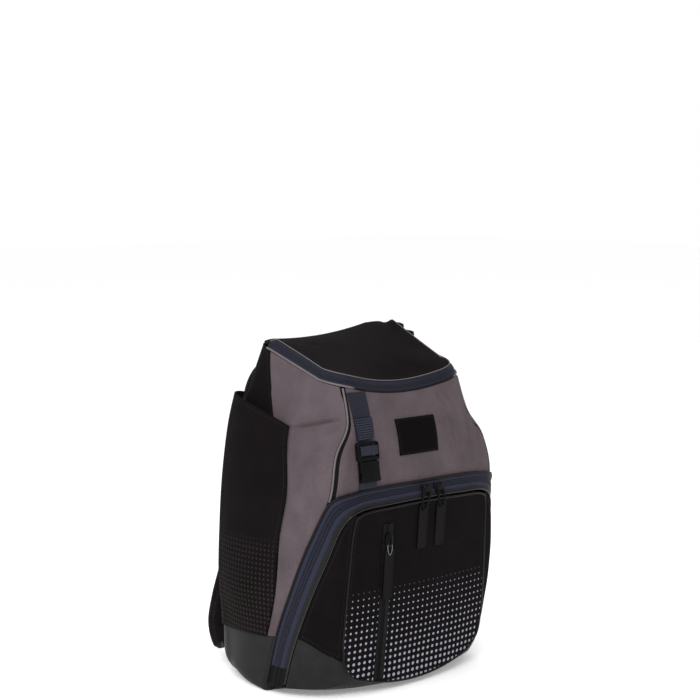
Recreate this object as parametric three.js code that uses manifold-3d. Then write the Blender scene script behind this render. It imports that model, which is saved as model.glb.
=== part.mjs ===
// Baseball backpack standing on its base: a soft main compartment under a zipped lid, a wedge-shaped front
// pocket, a bat sleeve on each side, two shoulder straps and one buckled strap at the front left.
// Millimetres, +Z up, the front faces -Y, left is -X.
import * as THREE from 'three';
import { mergeVertices } from 'three/addons/utils/BufferGeometryUtils.js';
import Module from 'manifold-3d';

const wasm = await Module();
wasm.setup();

const { lerp, clamp, smoothstep } = THREE.MathUtils;
const LEFT = -1;
const RIGHT = 1;

// Thicknesses and clearances
const GAP = 0.35;
const CLOTH = 2;
const VINYL = 2.4;
const BACK_PAD = 10;
const PIPING = 1.4;
const SEAM = PIPING + 0.6;
const TAPE = 1.8;

// Moves the whole part so that its box is centred over the origin
const CENTRE_Y = -23.4;

// How often a search for a place on a surface halves its span
const HALVINGS = 24;

// A table is a list of rows with named columns.
function table(names, rows) {
  return rows.map((row) => Object.fromEntries(names.map((name, i) => [name, row[i]])));
}

// Values between the rows of a table, smoothly; place 0 is the first row.
function sample(rows, place) {
  const last = rows.length - 1;
  const at = clamp(place, 0, last);
  const i = Math.min(Math.floor(at), last - 1);
  const t = at - i;
  const [before, from, to, after] = [i - 1, i, i + 1, i + 2].map((k) => rows[clamp(k, 0, last)]);
  const between = (name) => {
    const leave = (to[name] - before[name]) / 2;
    const arrive = (after[name] - from[name]) / 2;
    const change = to[name] - from[name];
    const bend = 3 * change - 2 * leave - arrive;
    const twist = leave + arrive - 2 * change;
    return from[name] + t * (leave + t * (bend + t * twist));
  };
  return Object.fromEntries(Object.keys(from).map((name) => [name, between(name)]));
}

// Rings round the main compartment, from the floor to the lid's zip. Each ring runs from the middle of the
// back, round the back corner, along the side, round the front corner, to the middle of the front.
// sleeve is where on the ring the bat sleeve's front edge lies, lining where the lining behind it ends,
// lean lifts the back's right corner over its left, drawn is how far the right shoulder is pulled in.
const RINGS = table(
  ['backZ', 'sag', 'backY', 'backHalf', 'backR', 'bulge', 'cornerZ', 'cornerY', 'cornerHalf', 'cornerR',
    'frontZ', 'frontY', 'sleeve', 'lining', 'lean', 'drawn'],
  [
    [0, 0, 113, 163, 32, 4, 0, -4, 175, 14, 0, -4, 0.575, 0.575, 0, 0],
    [71, 0, 114, 165, 32, 6, 79, -26, 172.5, 14, 79, -26, 0.585, 0.585, 0, 0],
    [130, 0, 115, 165, 32, 7, 130, -45, 169, 14, 130, -45, 0.572, 0.572, 0, 0],
    [202, 0, 115, 161, 32, 7, 200, -75, 163, 16, 200, -76, 0.53, 0.53, 0, 0],
    [287, 0, 112, 153, 32, 6, 270, -112, 155, 22, 272, -119, 0.504, 0.48, 0, 0],
    [355, 0, 106, 142, 32, 4, 328, -114, 145, 28, 326, -117, 0.482, 0.43, 0.01, 3],
    [420, 2, 96, 126, 32, 0, 367, -114, 124, 36, 362, -108, 0.455, 0.35, 0.04, 9],
    [468, 6, 82, 117, 30, 0, 416, -97, 118, 45, 401, -91, 0.43, 0.3, 0.07, 2],
  ],
);
const TOP = RINGS.length - 1;
const RIM = 1;
const AT = {
  backCorner: 0.2, webbing: 0.18, backSeam: 0.25, side: 0.3, frontCorner: 0.6, frontSeam: 0.65, front: 0.7,
};

// How far the foot of the boot is rounded, by place on the ring
const FOOT = table(['place', 'radius'], [[0, 36], [0.25, 38], [0.45, 20], [0.65, 5], [1, 4]]);
const AXIS_Y = 45;

const bezier = (a, b, c, t) => a.clone().multiplyScalar((1 - t) * (1 - t))
  .addScaledVector(b, 2 * t * (1 - t)).addScaledVector(c, t * t);

// Plan of a ring at place s, 0 at the middle of the back and 1 at the middle of the front
function plan(ring, s) {
  const back = new THREE.Vector2(ring.backHalf, ring.backY);
  const corner = new THREE.Vector2(ring.cornerHalf, ring.cornerY);
  const pull = new THREE.Vector2(ring.cornerHalf / 2, ring.frontY);
  const along = corner.clone().sub(back).normalize();
  const ahead = pull.clone().sub(corner).normalize();
  const backStart = new THREE.Vector2(ring.backHalf - ring.backR, ring.backY);
  const sideStart = back.clone().addScaledVector(along, ring.backR);
  const sideEnd = corner.clone().addScaledVector(along, -ring.cornerR);
  const frontStart = corner.clone().addScaledVector(ahead, ring.cornerR);
  if (s < AT.backCorner) return new THREE.Vector2(backStart.x * s / AT.backCorner, ring.backY);
  if (s < AT.side) return bezier(backStart, back, sideStart, (s - AT.backCorner) / (AT.side - AT.backCorner));
  if (s < AT.frontCorner) {
    const t = (s - AT.side) / (AT.frontCorner - AT.side);
    const out = new THREE.Vector2(-along.y, along.x);
    return sideStart.lerp(sideEnd, t).addScaledVector(out, ring.bulge * Math.sin(Math.PI * t));
  }
  if (s < AT.front) {
    return bezier(sideEnd, corner, frontStart, (s - AT.frontCorner) / (AT.front - AT.frontCorner));
  }
  return bezier(frontStart, pull, new THREE.Vector2(0, ring.frontY), (s - AT.front) / (1 - AT.front));
}

function footRadius(s) {
  const i = clamp(FOOT.findIndex((row) => row.place >= s), 1, FOOT.length - 1);
  const [a, b] = [FOOT[i - 1], FOOT[i]];
  return lerp(a.radius, b.radius, (s - a.place) / (b.place - a.place));
}

// A point of the main compartment's outer surface
function bodyPoint(side, s, place) {
  const ring = sample(RINGS, place);
  const flat = plan(ring, s);
  let height = ring.backZ - ring.sag * (1 - Math.min(s / AT.backCorner, 1) ** 2);
  if (s > AT.backSeam) {
    height = lerp(ring.backZ, ring.cornerZ, Math.min((s - AT.backSeam) / (AT.frontSeam - AT.backSeam), 1));
  }
  if (s > AT.frontSeam) {
    const left = (1 - s) / (1 - AT.frontSeam);
    height = lerp(ring.cornerZ, ring.frontZ, 1 - left ** 3);
  }
  const radius = footRadius(s);
  const under = Math.max(radius - height, 0);
  const inset = radius - Math.sqrt(radius * radius - under * under);
  const out = new THREE.Vector2(flat.x, flat.y - AXIS_Y).normalize();
  flat.addScaledVector(out, -inset);
  const forward = clamp((s - AT.backSeam) / (AT.frontSeam - AT.backSeam), 0, 1);
  const tilt = ring.lean * side * flat.x * (1 - forward);
  if (side === RIGHT) flat.x -= ring.drawn * flat.x / ring.cornerHalf;
  return new THREE.Vector3(side * flat.x, flat.y, height + tilt);
}

// The body's surface at a place on the ring and a height
function bodyAtHeight(side, s, z) {
  let [low, high] = [0, TOP];
  for (let i = 0; i < HALVINGS; i += 1) {
    const middle = (low + high) / 2;
    if (bodyPoint(side, s, middle).z < z) low = middle;
    else high = middle;
  }
  return bodyPoint(side, s, low);
}

// Surfaces are functions of (u, v) from 0 to 1; outward is away from this point inside the bag.
const INSIDE = new THREE.Vector3(0, 0, 180);
const STEP = 1e-3;

function slopes(point, u, v) {
  const [ua, ub] = [Math.max(u - STEP, 0), Math.min(u + STEP, 1)];
  const [va, vb] = [Math.max(v - STEP, 0), Math.min(v + STEP, 1)];
  return {
    across: point(ub, v).sub(point(ua, v)).divideScalar(ub - ua),
    along: point(u, vb).sub(point(u, va)).divideScalar(vb - va),
  };
}

function outward(point, u, v) {
  const { across, along } = slopes(point, clamp(u, 0, 1), clamp(v, 0, 1));
  const normal = across.cross(along).normalize();
  return normal.dot(point(u, v).sub(INSIDE)) < 0 ? normal.negate() : normal;
}

// The surface moved outward by a distance that may change over it
const lifted = (point, lift) => (u, v) => point(u, v).addScaledVector(outward(point, u, v), lift(u, v));

function geometryOf(points, faces) {
  const geometry = new THREE.BufferGeometry();
  geometry.setAttribute('position', new THREE.Float32BufferAttribute(points.flatMap((p) => p.toArray()), 3));
  geometry.setIndex(faces.flat());
  return geometry;
}

function signedVolume(points, faces) {
  const part = ([a, b, c]) => points[a].dot(points[b].clone().cross(points[c])) / 6;
  return faces.reduce((sum, face) => sum + part(face), 0);
}

function closed(points, faces) {
  const turned = signedVolume(points, faces) < 0;
  return geometryOf(points, turned ? faces.map(([a, b, c]) => [a, c, b]) : faces);
}

// A sheet of cloth of the given thickness whose outer face is the surface. Each edge stops short by its trim,
// in the order u = 0, u = 1, v = 0, v = 1.
function sheet(point, { across, along, thick = CLOTH, trim = [GAP, GAP, GAP, GAP] }) {
  const outer = [];
  const inner = [];
  for (let j = 0; j <= along; j += 1) {
    for (let i = 0; i <= across; i += 1) {
      const [a, b] = [i / across, j / along];
      const short = (u, v, way, length) => length / slopes(point, u, v)[way].length();
      const u = lerp(short(0, b, 'across', trim[0]), 1 - short(1, b, 'across', trim[1]), a);
      const v = lerp(short(a, 0, 'along', trim[2]), 1 - short(a, 1, 'along', trim[3]), b);
      const p = point(u, v);
      outer.push(p);
      inner.push(p.clone().addScaledVector(outward(point, u, v), -thick));
    }
  }
  const count = outer.length;
  const id = (i, j) => j * (across + 1) + i;
  const faces = [];
  for (let j = 0; j < along; j += 1) {
    for (let i = 0; i < across; i += 1) {
      const [a, b, c, d] = [id(i, j), id(i + 1, j), id(i + 1, j + 1), id(i, j + 1)];
      faces.push([a, b, c], [a, c, d], [a + count, c + count, b + count], [a + count, d + count, c + count]);
    }
  }
  const edge = [];
  for (let i = 0; i < across; i += 1) edge.push(id(i, 0));
  for (let j = 0; j < along; j += 1) edge.push(id(across, j));
  for (let i = across; i > 0; i -= 1) edge.push(id(i, along));
  for (let j = along; j > 0; j -= 1) edge.push(id(0, j));
  edge.forEach((p, k) => {
    const q = edge[(k + 1) % edge.length];
    faces.push([q, p, p + count], [q, p + count, q + count]);
  });
  return closed([...outer, ...inner], faces);
}

// A closed solid through rings of the same number of points, its ends filled about their middles
function loft(rings) {
  const size = rings[0].length;
  const points = rings.flat();
  const faces = [];
  for (let j = 0; j + 1 < rings.length; j += 1) {
    for (let i = 0; i < size; i += 1) {
      const [a, b] = [j * size + i, j * size + (i + 1) % size];
      faces.push([a, b, b + size], [a, b + size, a + size]);
    }
  }
  [rings[0], rings[rings.length - 1]].forEach((ring, end) => {
    const middle = ring.reduce((sum, p) => sum.add(p), new THREE.Vector3()).divideScalar(size);
    const start = end * (rings.length - 1) * size;
    points.push(middle);
    for (let i = 0; i < size; i += 1) {
      const [a, b] = [start + i, start + (i + 1) % size];
      faces.push(end ? [a, b, points.length - 1] : [b, a, points.length - 1]);
    }
  });
  return closed(points, faces);
}

// Piping: a thin cord along a seam
function cord(path, steps, radius = PIPING) {
  const round = new THREE.Shape();
  const sides = 4;
  for (let i = 0; i < sides; i += 1) {
    const turn = i / sides * 2 * Math.PI;
    if (i) round.lineTo(radius * Math.cos(turn), radius * Math.sin(turn));
    else round.moveTo(radius, 0);
  }
  const points = Array.from({ length: steps + 1 }, (_, i) => path(i / steps));
  const curve = new THREE.CatmullRomCurve3(points, false, 'centripetal');
  curve.getPointAt = curve.getPoint;
  curve.getTangentAt = curve.getTangent;
  return new THREE.ExtrudeGeometry(round, { steps, extrudePath: curve });
}

function solidOf(geometry) {
  const bare = geometry.clone();
  bare.deleteAttribute('normal');
  bare.deleteAttribute('uv');
  const merged = mergeVertices(bare, STEP);
  return new wasm.Manifold(new wasm.Mesh({
    numProp: 3,
    vertProperties: merged.attributes.position.array,
    triVerts: new Uint32Array(merged.index.array),
  }));
}

function geometryFrom(solid) {
  const mesh = solid.getMesh();
  const geometry = new THREE.BufferGeometry();
  geometry.setAttribute('position', new THREE.Float32BufferAttribute(mesh.vertProperties, 3));
  geometry.setIndex([...mesh.triVerts]);
  return geometry;
}

const joined = (...geometries) => geometryFrom(geometries.map(solidOf).reduce((a, b) => a.add(b)));
const cut = (geometry, ...tools) => (
  geometryFrom(tools.map(solidOf).reduce((a, b) => a.subtract(b), solidOf(geometry))));

// A frame on a surface: x across, y up along it, z outward
function frameOn(point, u, v, lift = 0) {
  const normal = outward(point, u, v);
  const up = new THREE.Vector3(0, 0, 1).addScaledVector(normal, -normal.z).normalize();
  const across = up.clone().cross(normal);
  const place = point(u, v).addScaledVector(normal, lift);
  return new THREE.Matrix4().makeBasis(across, up, normal).setPosition(place);
}

const slab = (width, height, depth, x = 0, y = 0, z = 0) => (
  new THREE.BoxGeometry(width, height, depth).translate(x, y, z + depth / 2));

// A plate with rounded corners lying on z = 0
function plate(width, height, depth, radius) {
  const [w, h] = [width / 2, height / 2];
  const outline = new THREE.Shape();
  outline.moveTo(-w + radius, -h);
  outline.lineTo(w - radius, -h).quadraticCurveTo(w, -h, w, -h + radius);
  outline.lineTo(w, h - radius).quadraticCurveTo(w, h, w - radius, h);
  outline.lineTo(-w + radius, h).quadraticCurveTo(-w, h, -w, h - radius);
  outline.lineTo(-w, -h + radius).quadraticCurveTo(-w, -h, -w + radius, -h);
  return new THREE.ExtrudeGeometry(outline, { depth, bevelEnabled: false, curveSegments: 2 });
}

const bag = new THREE.Group();
bag.name = 'baseball_backpack';

const COLOURS = {
  grey: 0x6c6266, black: 0x1c181a, slate: 0x2e3040, vinyl: 0x2d2d2e, piping: 0x3a393c, plastic: 0x141416,
};

function add(name, geometry, colour, roughness = 0.9) {
  const mesh = new THREE.Mesh(geometry, new THREE.MeshStandardMaterial({ color: COLOURS[colour], roughness }));
  mesh.name = name;
  mesh.position.y = CENTRE_Y;
  bag.add(mesh);
}

const sides = [['left', LEFT], ['right', RIGHT]];

// Body panels
const ringAt = (place) => sample(RINGS, place);
const backSurface = (u, v) => {
  const turn = lerp(-AT.backSeam, AT.backSeam, u);
  return bodyPoint(turn < 0 ? LEFT : RIGHT, Math.abs(turn), lerp(RIM, TOP, v));
};
add('back_panel', sheet(backSurface, {
  across: 10, along: 8, thick: BACK_PAD, trim: [SEAM, SEAM, GAP, GAP],
}), 'black');

const frontSurface = (u, v) => {
  const turn = lerp(-1, 1, u) * (1 - AT.frontSeam);
  return bodyPoint(turn < 0 ? LEFT : RIGHT, 1 - Math.abs(turn), lerp(RIM, TOP, v));
};
const SEAM_LINE = { foot: 4.15, top: TOP - 0.12, steps: 14 };
const seamLine = (side) => (u) => bodyPoint(side, AT.frontSeam, lerp(SEAM_LINE.foot, SEAM_LINE.top, u));
const seamRoom = (side) => cord(seamLine(side), SEAM_LINE.steps, PIPING + GAP);
add('front_panel', cut(sheet(frontSurface, {
  across: 12, along: 14, trim: [SEAM, SEAM, GAP, SEAM + GAP],
}), seamRoom(LEFT), seamRoom(RIGHT)), 'grey');

const sideSurface = (side) => (u, v) => {
  const place = lerp(RIM, TOP, v);
  return bodyPoint(side, lerp(ringAt(place).lining, AT.frontSeam, u), place);
};
const liningSurface = (side) => (u, v) => {
  const place = lerp(RIM, TOP, v);
  return bodyPoint(side, lerp(AT.backSeam, ringAt(place).lining, u), place);
};

// Bat sleeve: bulges off the lining, open at its mouth, which falls towards the front
const SLEEVE = { mouthBack: 5.6, mouthFront: 5.36, bulge: 26, belly: 9, foot: 0.16, back: 0.62 };
const sleeveSurface = (side) => {
  const base = (u, v) => {
    const place = lerp(RIM, lerp(SLEEVE.mouthBack, SLEEVE.mouthFront, u), v);
    return bodyPoint(side, lerp(AT.backSeam, ringAt(place).sleeve, u), place);
  };
  const lift = (u, v) => {
    const full = lerp(SLEEVE.belly, SLEEVE.bulge, v * v) * smoothstep(v, 0, SLEEVE.foot * 2);
    return CLOTH + 2 * GAP + full * Math.sin(Math.PI * u ** SLEEVE.back);
  };
  return lifted(base, lift);
};
sides.forEach(([word, side]) => {
  add(`side_panel_${word}`, sheet(sideSurface(side), {
    across: 6, along: 12, trim: [GAP, SEAM, GAP, SEAM + GAP],
  }), 'grey');
  add(`sleeve_lining_${word}`, sheet(liningSurface(side), {
    across: 6, along: 12, trim: [SEAM, GAP, GAP, SEAM + GAP],
  }), 'black');
  add(`bat_sleeve_${word}`, sheet(sleeveSurface(side), {
    across: 10, along: 9, trim: [SEAM, GAP, GAP, 0],
  }), 'black');
});

// Boot: the coated base, turned up round the whole compartment
const RING_STOPS = [0, 0.1, 0.2, 0.225, 0.25, 0.275, 0.3, 0.4, 0.5, 0.6, 0.63, 0.65, 0.67, 0.7, 0.85];
const loopStops = [
  ...RING_STOPS.map((s) => [LEFT, s]), [LEFT, 1], ...RING_STOPS.slice(1).reverse().map((s) => [RIGHT, s]),
];
const BOOT_PLACES = [0, 0.05, 0.15, 0.32, 0.55, 1];
function bootRing(place, inset) {
  const surface = (side) => (u, v) => bodyPoint(side, u, v * RIM);
  return loopStops.map(([side, s]) => {
    const p = bodyPoint(side, s, place);
    const normal = outward(surface(side), s, Math.max(place, BOOT_PLACES[1]) / RIM);
    p.addScaledVector(normal, -inset);
    p.z = Math.max(p.z, inset);
    if (place === RIM) p.z = bodyPoint(side, s, RIM).z - GAP;
    return p;
  });
}
add('boot', loft([
  ...BOOT_PLACES.map((place) => bootRing(place, 0)),
  ...BOOT_PLACES.slice().reverse().map((place) => bootRing(place, VINYL)),
]), 'vinyl', 0.55);

// Lid and its zip. The lid's edge stands above and inside the top ring by the width of the zip, and at the
// back it lies on the top of the back panel.
const LID = {
  hinge: 0.262, opened: 0.31, rise: 14, inset: 9, rest: CLOTH + 0.6, dome: 3, middle: 0.5, middleY: -8,
  trim: SEAM + 1.5,
};
function lidEdge(side, s) {
  const p = bodyPoint(side, s, TOP);
  const open = smoothstep(s, LID.hinge, LID.opened);
  const inward = new THREE.Vector3(-p.x, LID.middleY - p.y, 0).normalize();
  p.addScaledVector(inward, LID.inset * open);
  p.z += lerp(LID.rest, LID.rise, open);
  return p;
}
const lidTurn = (u) => {
  const turn = lerp(-1, 1, u) * (1 - LID.hinge);
  return [turn < 0 ? LEFT : RIGHT, 1 - Math.abs(turn)];
};
const lidZipSurface = (u, v) => {
  const [side, s] = lidTurn(u);
  return bodyPoint(side, s, TOP).lerp(lidEdge(side, s), v);
};
const ZIP_CHAIN = 1.2;
const ZIP_END = 5;
const zipRidge = (u, v) => ZIP_CHAIN * Math.sin(Math.PI * v);
const lidZipStart = 0.018;
const lidZip = (u, v) => lidZipSurface(lerp(lidZipStart, 1 - lidZipStart, u), v);
add('lid_zip', sheet(lifted(lidZip, zipRidge), {
  across: 36, along: 3, thick: TAPE, trim: [GAP, GAP, SEAM, SEAM],
}), 'slate', 0.7);

const LID_SHARES = [0.25, 0.5, 0.75, 1];
const lidStops = [
  ...[0, 0.1, 0.2, 0.25, 0.28, 0.31, 0.45, 0.55, 0.6, 0.625, 0.65, 0.675, 0.7, 0.8, 0.9].map((s) => [LEFT, s]),
  [LEFT, 1],
  ...[0.9, 0.8, 0.7, 0.675, 0.65, 0.625, 0.6, 0.55, 0.45, 0.31, 0.28, 0.25, 0.2, 0.1].map((s) => [RIGHT, s]),
];
const lidRims = lidStops.map(([side, s]) => {
  const p = lidEdge(side, s);
  const inward = new THREE.Vector3(-p.x, LID.middleY - p.y, 0).normalize();
  return p.addScaledVector(inward, LID.trim * smoothstep(s, AT.backCorner, LID.opened));
});
const lidBack = lidEdge(LEFT, 0);
const lidFront = lidEdge(LEFT, 1);
const lidMiddle = lidFront.clone().lerp(lidBack, LID.middle);
function lidRing(share, drop) {
  return lidRims.map((p) => {
    const q = lidMiddle.clone().lerp(p, share);
    q.z += LID.dome * (1 - share * share) - drop;
    return q;
  });
}
add('lid', loft([
  ...LID_SHARES.map((share) => lidRing(share, 0)),
  ...LID_SHARES.slice().reverse().map((share) => lidRing(share, CLOTH)),
]), 'black');

// Front pocket: rows from the middle of its top, round the corner and down the side to the floor.
// seam and seamZ place its zip on the body, lift holds it off the front panel; band is the zip's inner edge,
// face the outline of the front.
const POCKET = table(
  ['seam', 'seamZ', 'lift', 'bandHalf', 'bandY', 'bandZ', 'faceHalf', 'faceY', 'faceZ'],
  [
    [1, 282, 2.8, 0, -134, 262, 0, -135, 257],
    [0.87, 282, 2.8, 62, -134, 261, 58, -135, 256],
    [0.74, 279, 2.8, 115, -129, 257, 110, -130, 252],
    [0.652, 266, 2.8, 139, -120, 237, 122, -126, 236],
    [0.65, 205, 0.6, 150, -104, 192, 126, -121, 185],
    [0.65, 140, 0.6, 160, -80, 134, 129, -115, 112],
    [0.65, 70, 2.4, 167, -55, 68, 127, -110, 63],
    [0.65, 8, 2.4, 169, -38, 12, 103, -107, 26],
  ],
);
const POCKET_END = POCKET.length - 1;
const FACE_TOP = 2;
const SEAM_SLANT = Math.PI / 4;
function pocketLine(side, t, line) {
  const row = sample(POCKET, t);
  if (line !== 'seam') return new THREE.Vector3(side * row[`${line}Half`], row[`${line}Y`], row[`${line}Z`]);
  const p = bodyAtHeight(side, row.seam, row.seamZ);
  const slant = lerp(0, SEAM_SLANT, smoothstep(t, FACE_TOP, FACE_TOP + 1));
  return p.add(new THREE.Vector3(side * Math.sin(slant), -Math.cos(slant), 0).multiplyScalar(row.lift));
}
const pocketTurn = (u) => {
  const turn = lerp(-POCKET_END, POCKET_END, u);
  return [turn < 0 ? LEFT : RIGHT, Math.abs(turn)];
};
const pocketZipSurface = (u, v) => {
  const [side, t] = pocketTurn(u);
  return pocketLine(side, t, 'seam').lerp(pocketLine(side, t, 'band'), v);
};
add('pocket_zip', sheet(lifted(pocketZipSurface, zipRidge), {
  across: 36, along: 3, thick: TAPE, trim: [ZIP_END, ZIP_END, SEAM, SEAM],
}), 'slate', 0.7);

const GUSSET = { top: 2.25, full: 4.5, vinylBack: 5.74, vinylFace: 6.2, bow: 0.14, bulge: 9, lap: -0.8 };
const gussetSurface = (side, from, to) => {
  const base = (u, v) => {
    const t = lerp(from(u), to(u), v);
    return pocketLine(side, t, 'band').lerp(pocketLine(side, t, 'face'), u);
  };
  const belly = (u, v) => {
    const t = lerp(from(u), to(u), v);
    return GUSSET.bulge * Math.sin(Math.PI * u) * smoothstep(t, GUSSET.top, GUSSET.full);
  };
  return lifted(base, belly);
};
const vinylLine = (u) => (
  lerp(GUSSET.vinylBack, GUSSET.vinylFace, u) - GUSSET.bow * Math.sin(Math.PI * u));
sides.forEach(([word, side]) => {
  add(`pocket_gusset_${word}`, sheet(gussetSurface(side, () => GUSSET.top, vinylLine), {
    across: 5, along: 9, trim: [SEAM, SEAM, 0, GAP],
  }), 'black');
});

// Pocket boot: coated underside of the pocket with its turned-up corners
const POCKET_FLOOR = {
  z: VINYL, backHalf: 164, backY: -7.5, bend: 0.28, middleY: -112, middleZ: 10, curl: 3, sideTrim: 1.2,
  frontTrim: SEAM + 1.4,
};
const pocketFoot = gussetSurface(RIGHT, vinylLine, () => POCKET_END);
const pocketToe = pocketFoot(1, 1);
const pocketFloor = (u, v) => {
  const turn = lerp(-1, 1, u);
  const band = pocketLine(RIGHT, POCKET_END, 'band');
  const back = new THREE.Vector3(POCKET_FLOOR.backHalf, POCKET_FLOOR.backY, POCKET_FLOOR.z);
  const bend = POCKET_FLOOR.bend;
  const edge = v < bend ? back.lerp(band, v / bend) : pocketFoot((v - bend) / (1 - bend), 1);
  const bow = v ** 4 * (1 - turn * turn);
  const curl = 1 - (1 - Math.abs(turn) ** POCKET_FLOOR.curl) * (1 - v ** POCKET_FLOOR.curl);
  const y = edge.y + bow * (POCKET_FLOOR.middleY - pocketToe.y);
  const z = edge.z + bow * (POCKET_FLOOR.middleZ - pocketToe.z);
  return new THREE.Vector3(turn * edge.x, y, z * curl);
};
const lowGusset = (side) => sheet(gussetSurface(side, vinylLine, () => POCKET_END), {
  across: 5, along: 3, thick: VINYL, trim: [SEAM, SEAM, GAP, GUSSET.lap],
});
add('pocket_boot', joined(
  sheet(pocketFloor, {
    across: 12,
    along: 7,
    thick: VINYL,
    trim: [POCKET_FLOOR.sideTrim, POCKET_FLOOR.sideTrim, 0, POCKET_FLOOR.frontTrim],
  }),
  lowGusset(LEFT),
  lowGusset(RIGHT),
), 'vinyl', 0.55);

// Pocket face with a slot for the upright zip
const FACE = { bulge: 2, bottomY: -112, bottomZ: 10, trim: SEAM, steps: 48, bottomShare: 0.14, opening: 0.004 };
const faceLow = pocketLine(RIGHT, POCKET_END, 'face');
const faceHigh = pocketLine(RIGHT, FACE_TOP, 'face');
const faceSurface = (u, v) => {
  const turn = lerp(-1, 1, u);
  const edge = pocketLine(RIGHT, lerp(POCKET_END, FACE_TOP, v), 'face');
  const top = sample(POCKET, 0);
  const middle = 1 - turn * turn;
  const height = (edge.z - faceLow.z) / (faceHigh.z - faceLow.z);
  const bowZ = lerp(FACE.bottomZ - faceLow.z, top.faceZ - faceHigh.z, height);
  const bowY = lerp(FACE.bottomY - faceLow.y, top.faceY - faceHigh.y, height);
  const y = edge.y + middle * bowY - FACE.bulge * (1 - turn ** 4) * Math.sin(Math.PI * v);
  return new THREE.Vector3(turn * edge.x, y, edge.z + middle * bowZ);
};
const faceAt = (x, z) => {
  let [low, high] = [0, 1];
  let u = 0.5;
  for (let i = 0; i < HALVINGS; i += 1) {
    const v = (low + high) / 2;
    const half = pocketLine(RIGHT, lerp(POCKET_END, FACE_TOP, v), 'face').x;
    u = (x / half + 1) / 2;
    if (faceSurface(u, v).z < z) low = v;
    else high = v;
  }
  return [u, low];
};
const faceOutline = (u) => {
  const bottom = FACE.bottomShare;
  if (u > bottom && u < 1 - bottom) {
    const [side, t] = pocketTurn((u - bottom) / (1 - 2 * bottom));
    return pocketLine(side, t, 'face');
  }
  const turn = u < 0.5 ? -u / bottom : (1 - u) / bottom;
  return faceSurface(lerp(FACE.opening, 1, Math.abs(turn)) * Math.sign(turn || -1) / 2 + 0.5, 0);
};
const FACE_ZIP = { topX: -66, topZ: 234, footX: -66, footZ: 20, width: 17, slotLift: 6, slotDeep: 14 };
const faceZipSurface = (u, v) => {
  const x = lerp(FACE_ZIP.footX, FACE_ZIP.topX, v) + lerp(-FACE_ZIP.width, FACE_ZIP.width, u) / 2;
  return faceSurface(...faceAt(x, lerp(FACE_ZIP.footZ, FACE_ZIP.topZ, v)));
};
const faceRidge = (u) => ZIP_CHAIN * Math.sin(Math.PI * u);
const faceSlot = sheet(lifted(faceZipSurface, () => FACE_ZIP.slotLift), {
  across: 2, along: 8, thick: FACE_ZIP.slotDeep, trim: [-GAP, -GAP, -GAP, -GAP],
});
add('pocket_face', cut(sheet(faceSurface, {
  across: 12, along: 10, trim: [FACE.trim, FACE.trim, FACE.trim, FACE.trim],
}), faceSlot, cord(faceOutline, FACE.steps, PIPING + GAP)), 'black');
add('face_zip', sheet(lifted(faceZipSurface, faceRidge), {
  across: 3, along: 8, thick: TAPE, trim: [GAP, GAP, GAP, GAP],
}), 'slate', 0.7);

// Piping
const topLine = (u) => lidZipSurface(lerp(lidZipStart, 1 - lidZipStart, u), 0);
const edgeLine = (u) => lidZipSurface(lerp(lidZipStart, 1 - lidZipStart, u), 1);
add('lid_piping_lower', cord(topLine, 36), 'piping');
add('lid_piping_upper', cord(edgeLine, 36), 'piping');
sides.forEach(([word, side]) => {
  add(`seam_piping_${word}`, cord(seamLine(side), SEAM_LINE.steps), 'piping');
});
const PIPING_START = 0.012;
const pocketCord = (line) => (u) => {
  const [side, t] = pocketTurn(lerp(PIPING_START, 1 - PIPING_START, u));
  return pocketLine(side, t, line);
};
add('pocket_piping_outer', cord(pocketCord('seam'), 36), 'piping');
add('pocket_piping_inner', cord(pocketCord('band'), 36), 'piping');
add('face_piping', cord(faceOutline, FACE.steps), 'piping');

// Shoulder straps: rows down each strap, from the back panel, round the arm's loop, to the adjuster
const STRAP = table(
  ['x', 'y', 'z', 'width', 'thick'],
  [
    [52, 92, 421, 60, 10],
    [53, 114, 424, 62, 12],
    [58, 131, 406, 62, 13],
    [64, 140, 370, 62, 13],
    [70, 145, 300, 62, 13],
    [77, 150, 220, 60, 13],
    [89, 161, 150, 56, 13],
    [101, 174, 90, 50, 12],
    [108, 178, 50, 44, 11],
    [111, 166, 21, 38, 10],
    [113.5, 146.5, 25.5, 32, 8],
  ],
);
const ADJUSTER = { width: 36, length: 14, thick: 6, gap: 1.2, corner: 2.5, room: 24 };
const WEB = { width: 25, thick: 1.8, front: 27, turned: 0.93, anchorZ: 34, anchorLift: 2.2, lift: 0.6 };
const STRAP_STEPS = 20;
const STRAP_STEP = 0.05;
const strapPoint = (side, row) => new THREE.Vector3(side * row.x, row.y, row.z);
const STRAP_SECTION = [
  [-1, -0.4], [-0.85, -1], [0.85, -1], [1, -0.4], [1, 0.4], [0.85, 1], [-0.85, 1], [-1, 0.4],
];
function strapRing(side, place) {
  const row = sample(STRAP, place);
  const end = STRAP.length - 1;
  const ahead = strapPoint(side, sample(STRAP, Math.min(place + STRAP_STEP, end)))
    .sub(strapPoint(side, sample(STRAP, Math.max(place - STRAP_STEP, 0)))).normalize();
  const wide = new THREE.Vector3(1, 0, 0).addScaledVector(ahead, -ahead.x).normalize();
  const deep = ahead.clone().cross(wide);
  return STRAP_SECTION.map(([a, b]) => strapPoint(side, row)
    .addScaledVector(wide, a * row.width / 2).addScaledVector(deep, b * row.thick / 2));
}
const backClear = sheet(lifted(backSurface, () => GAP), {
  across: 10, along: 8, thick: BACK_PAD, trim: [SEAM, SEAM, GAP, GAP],
});
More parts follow.
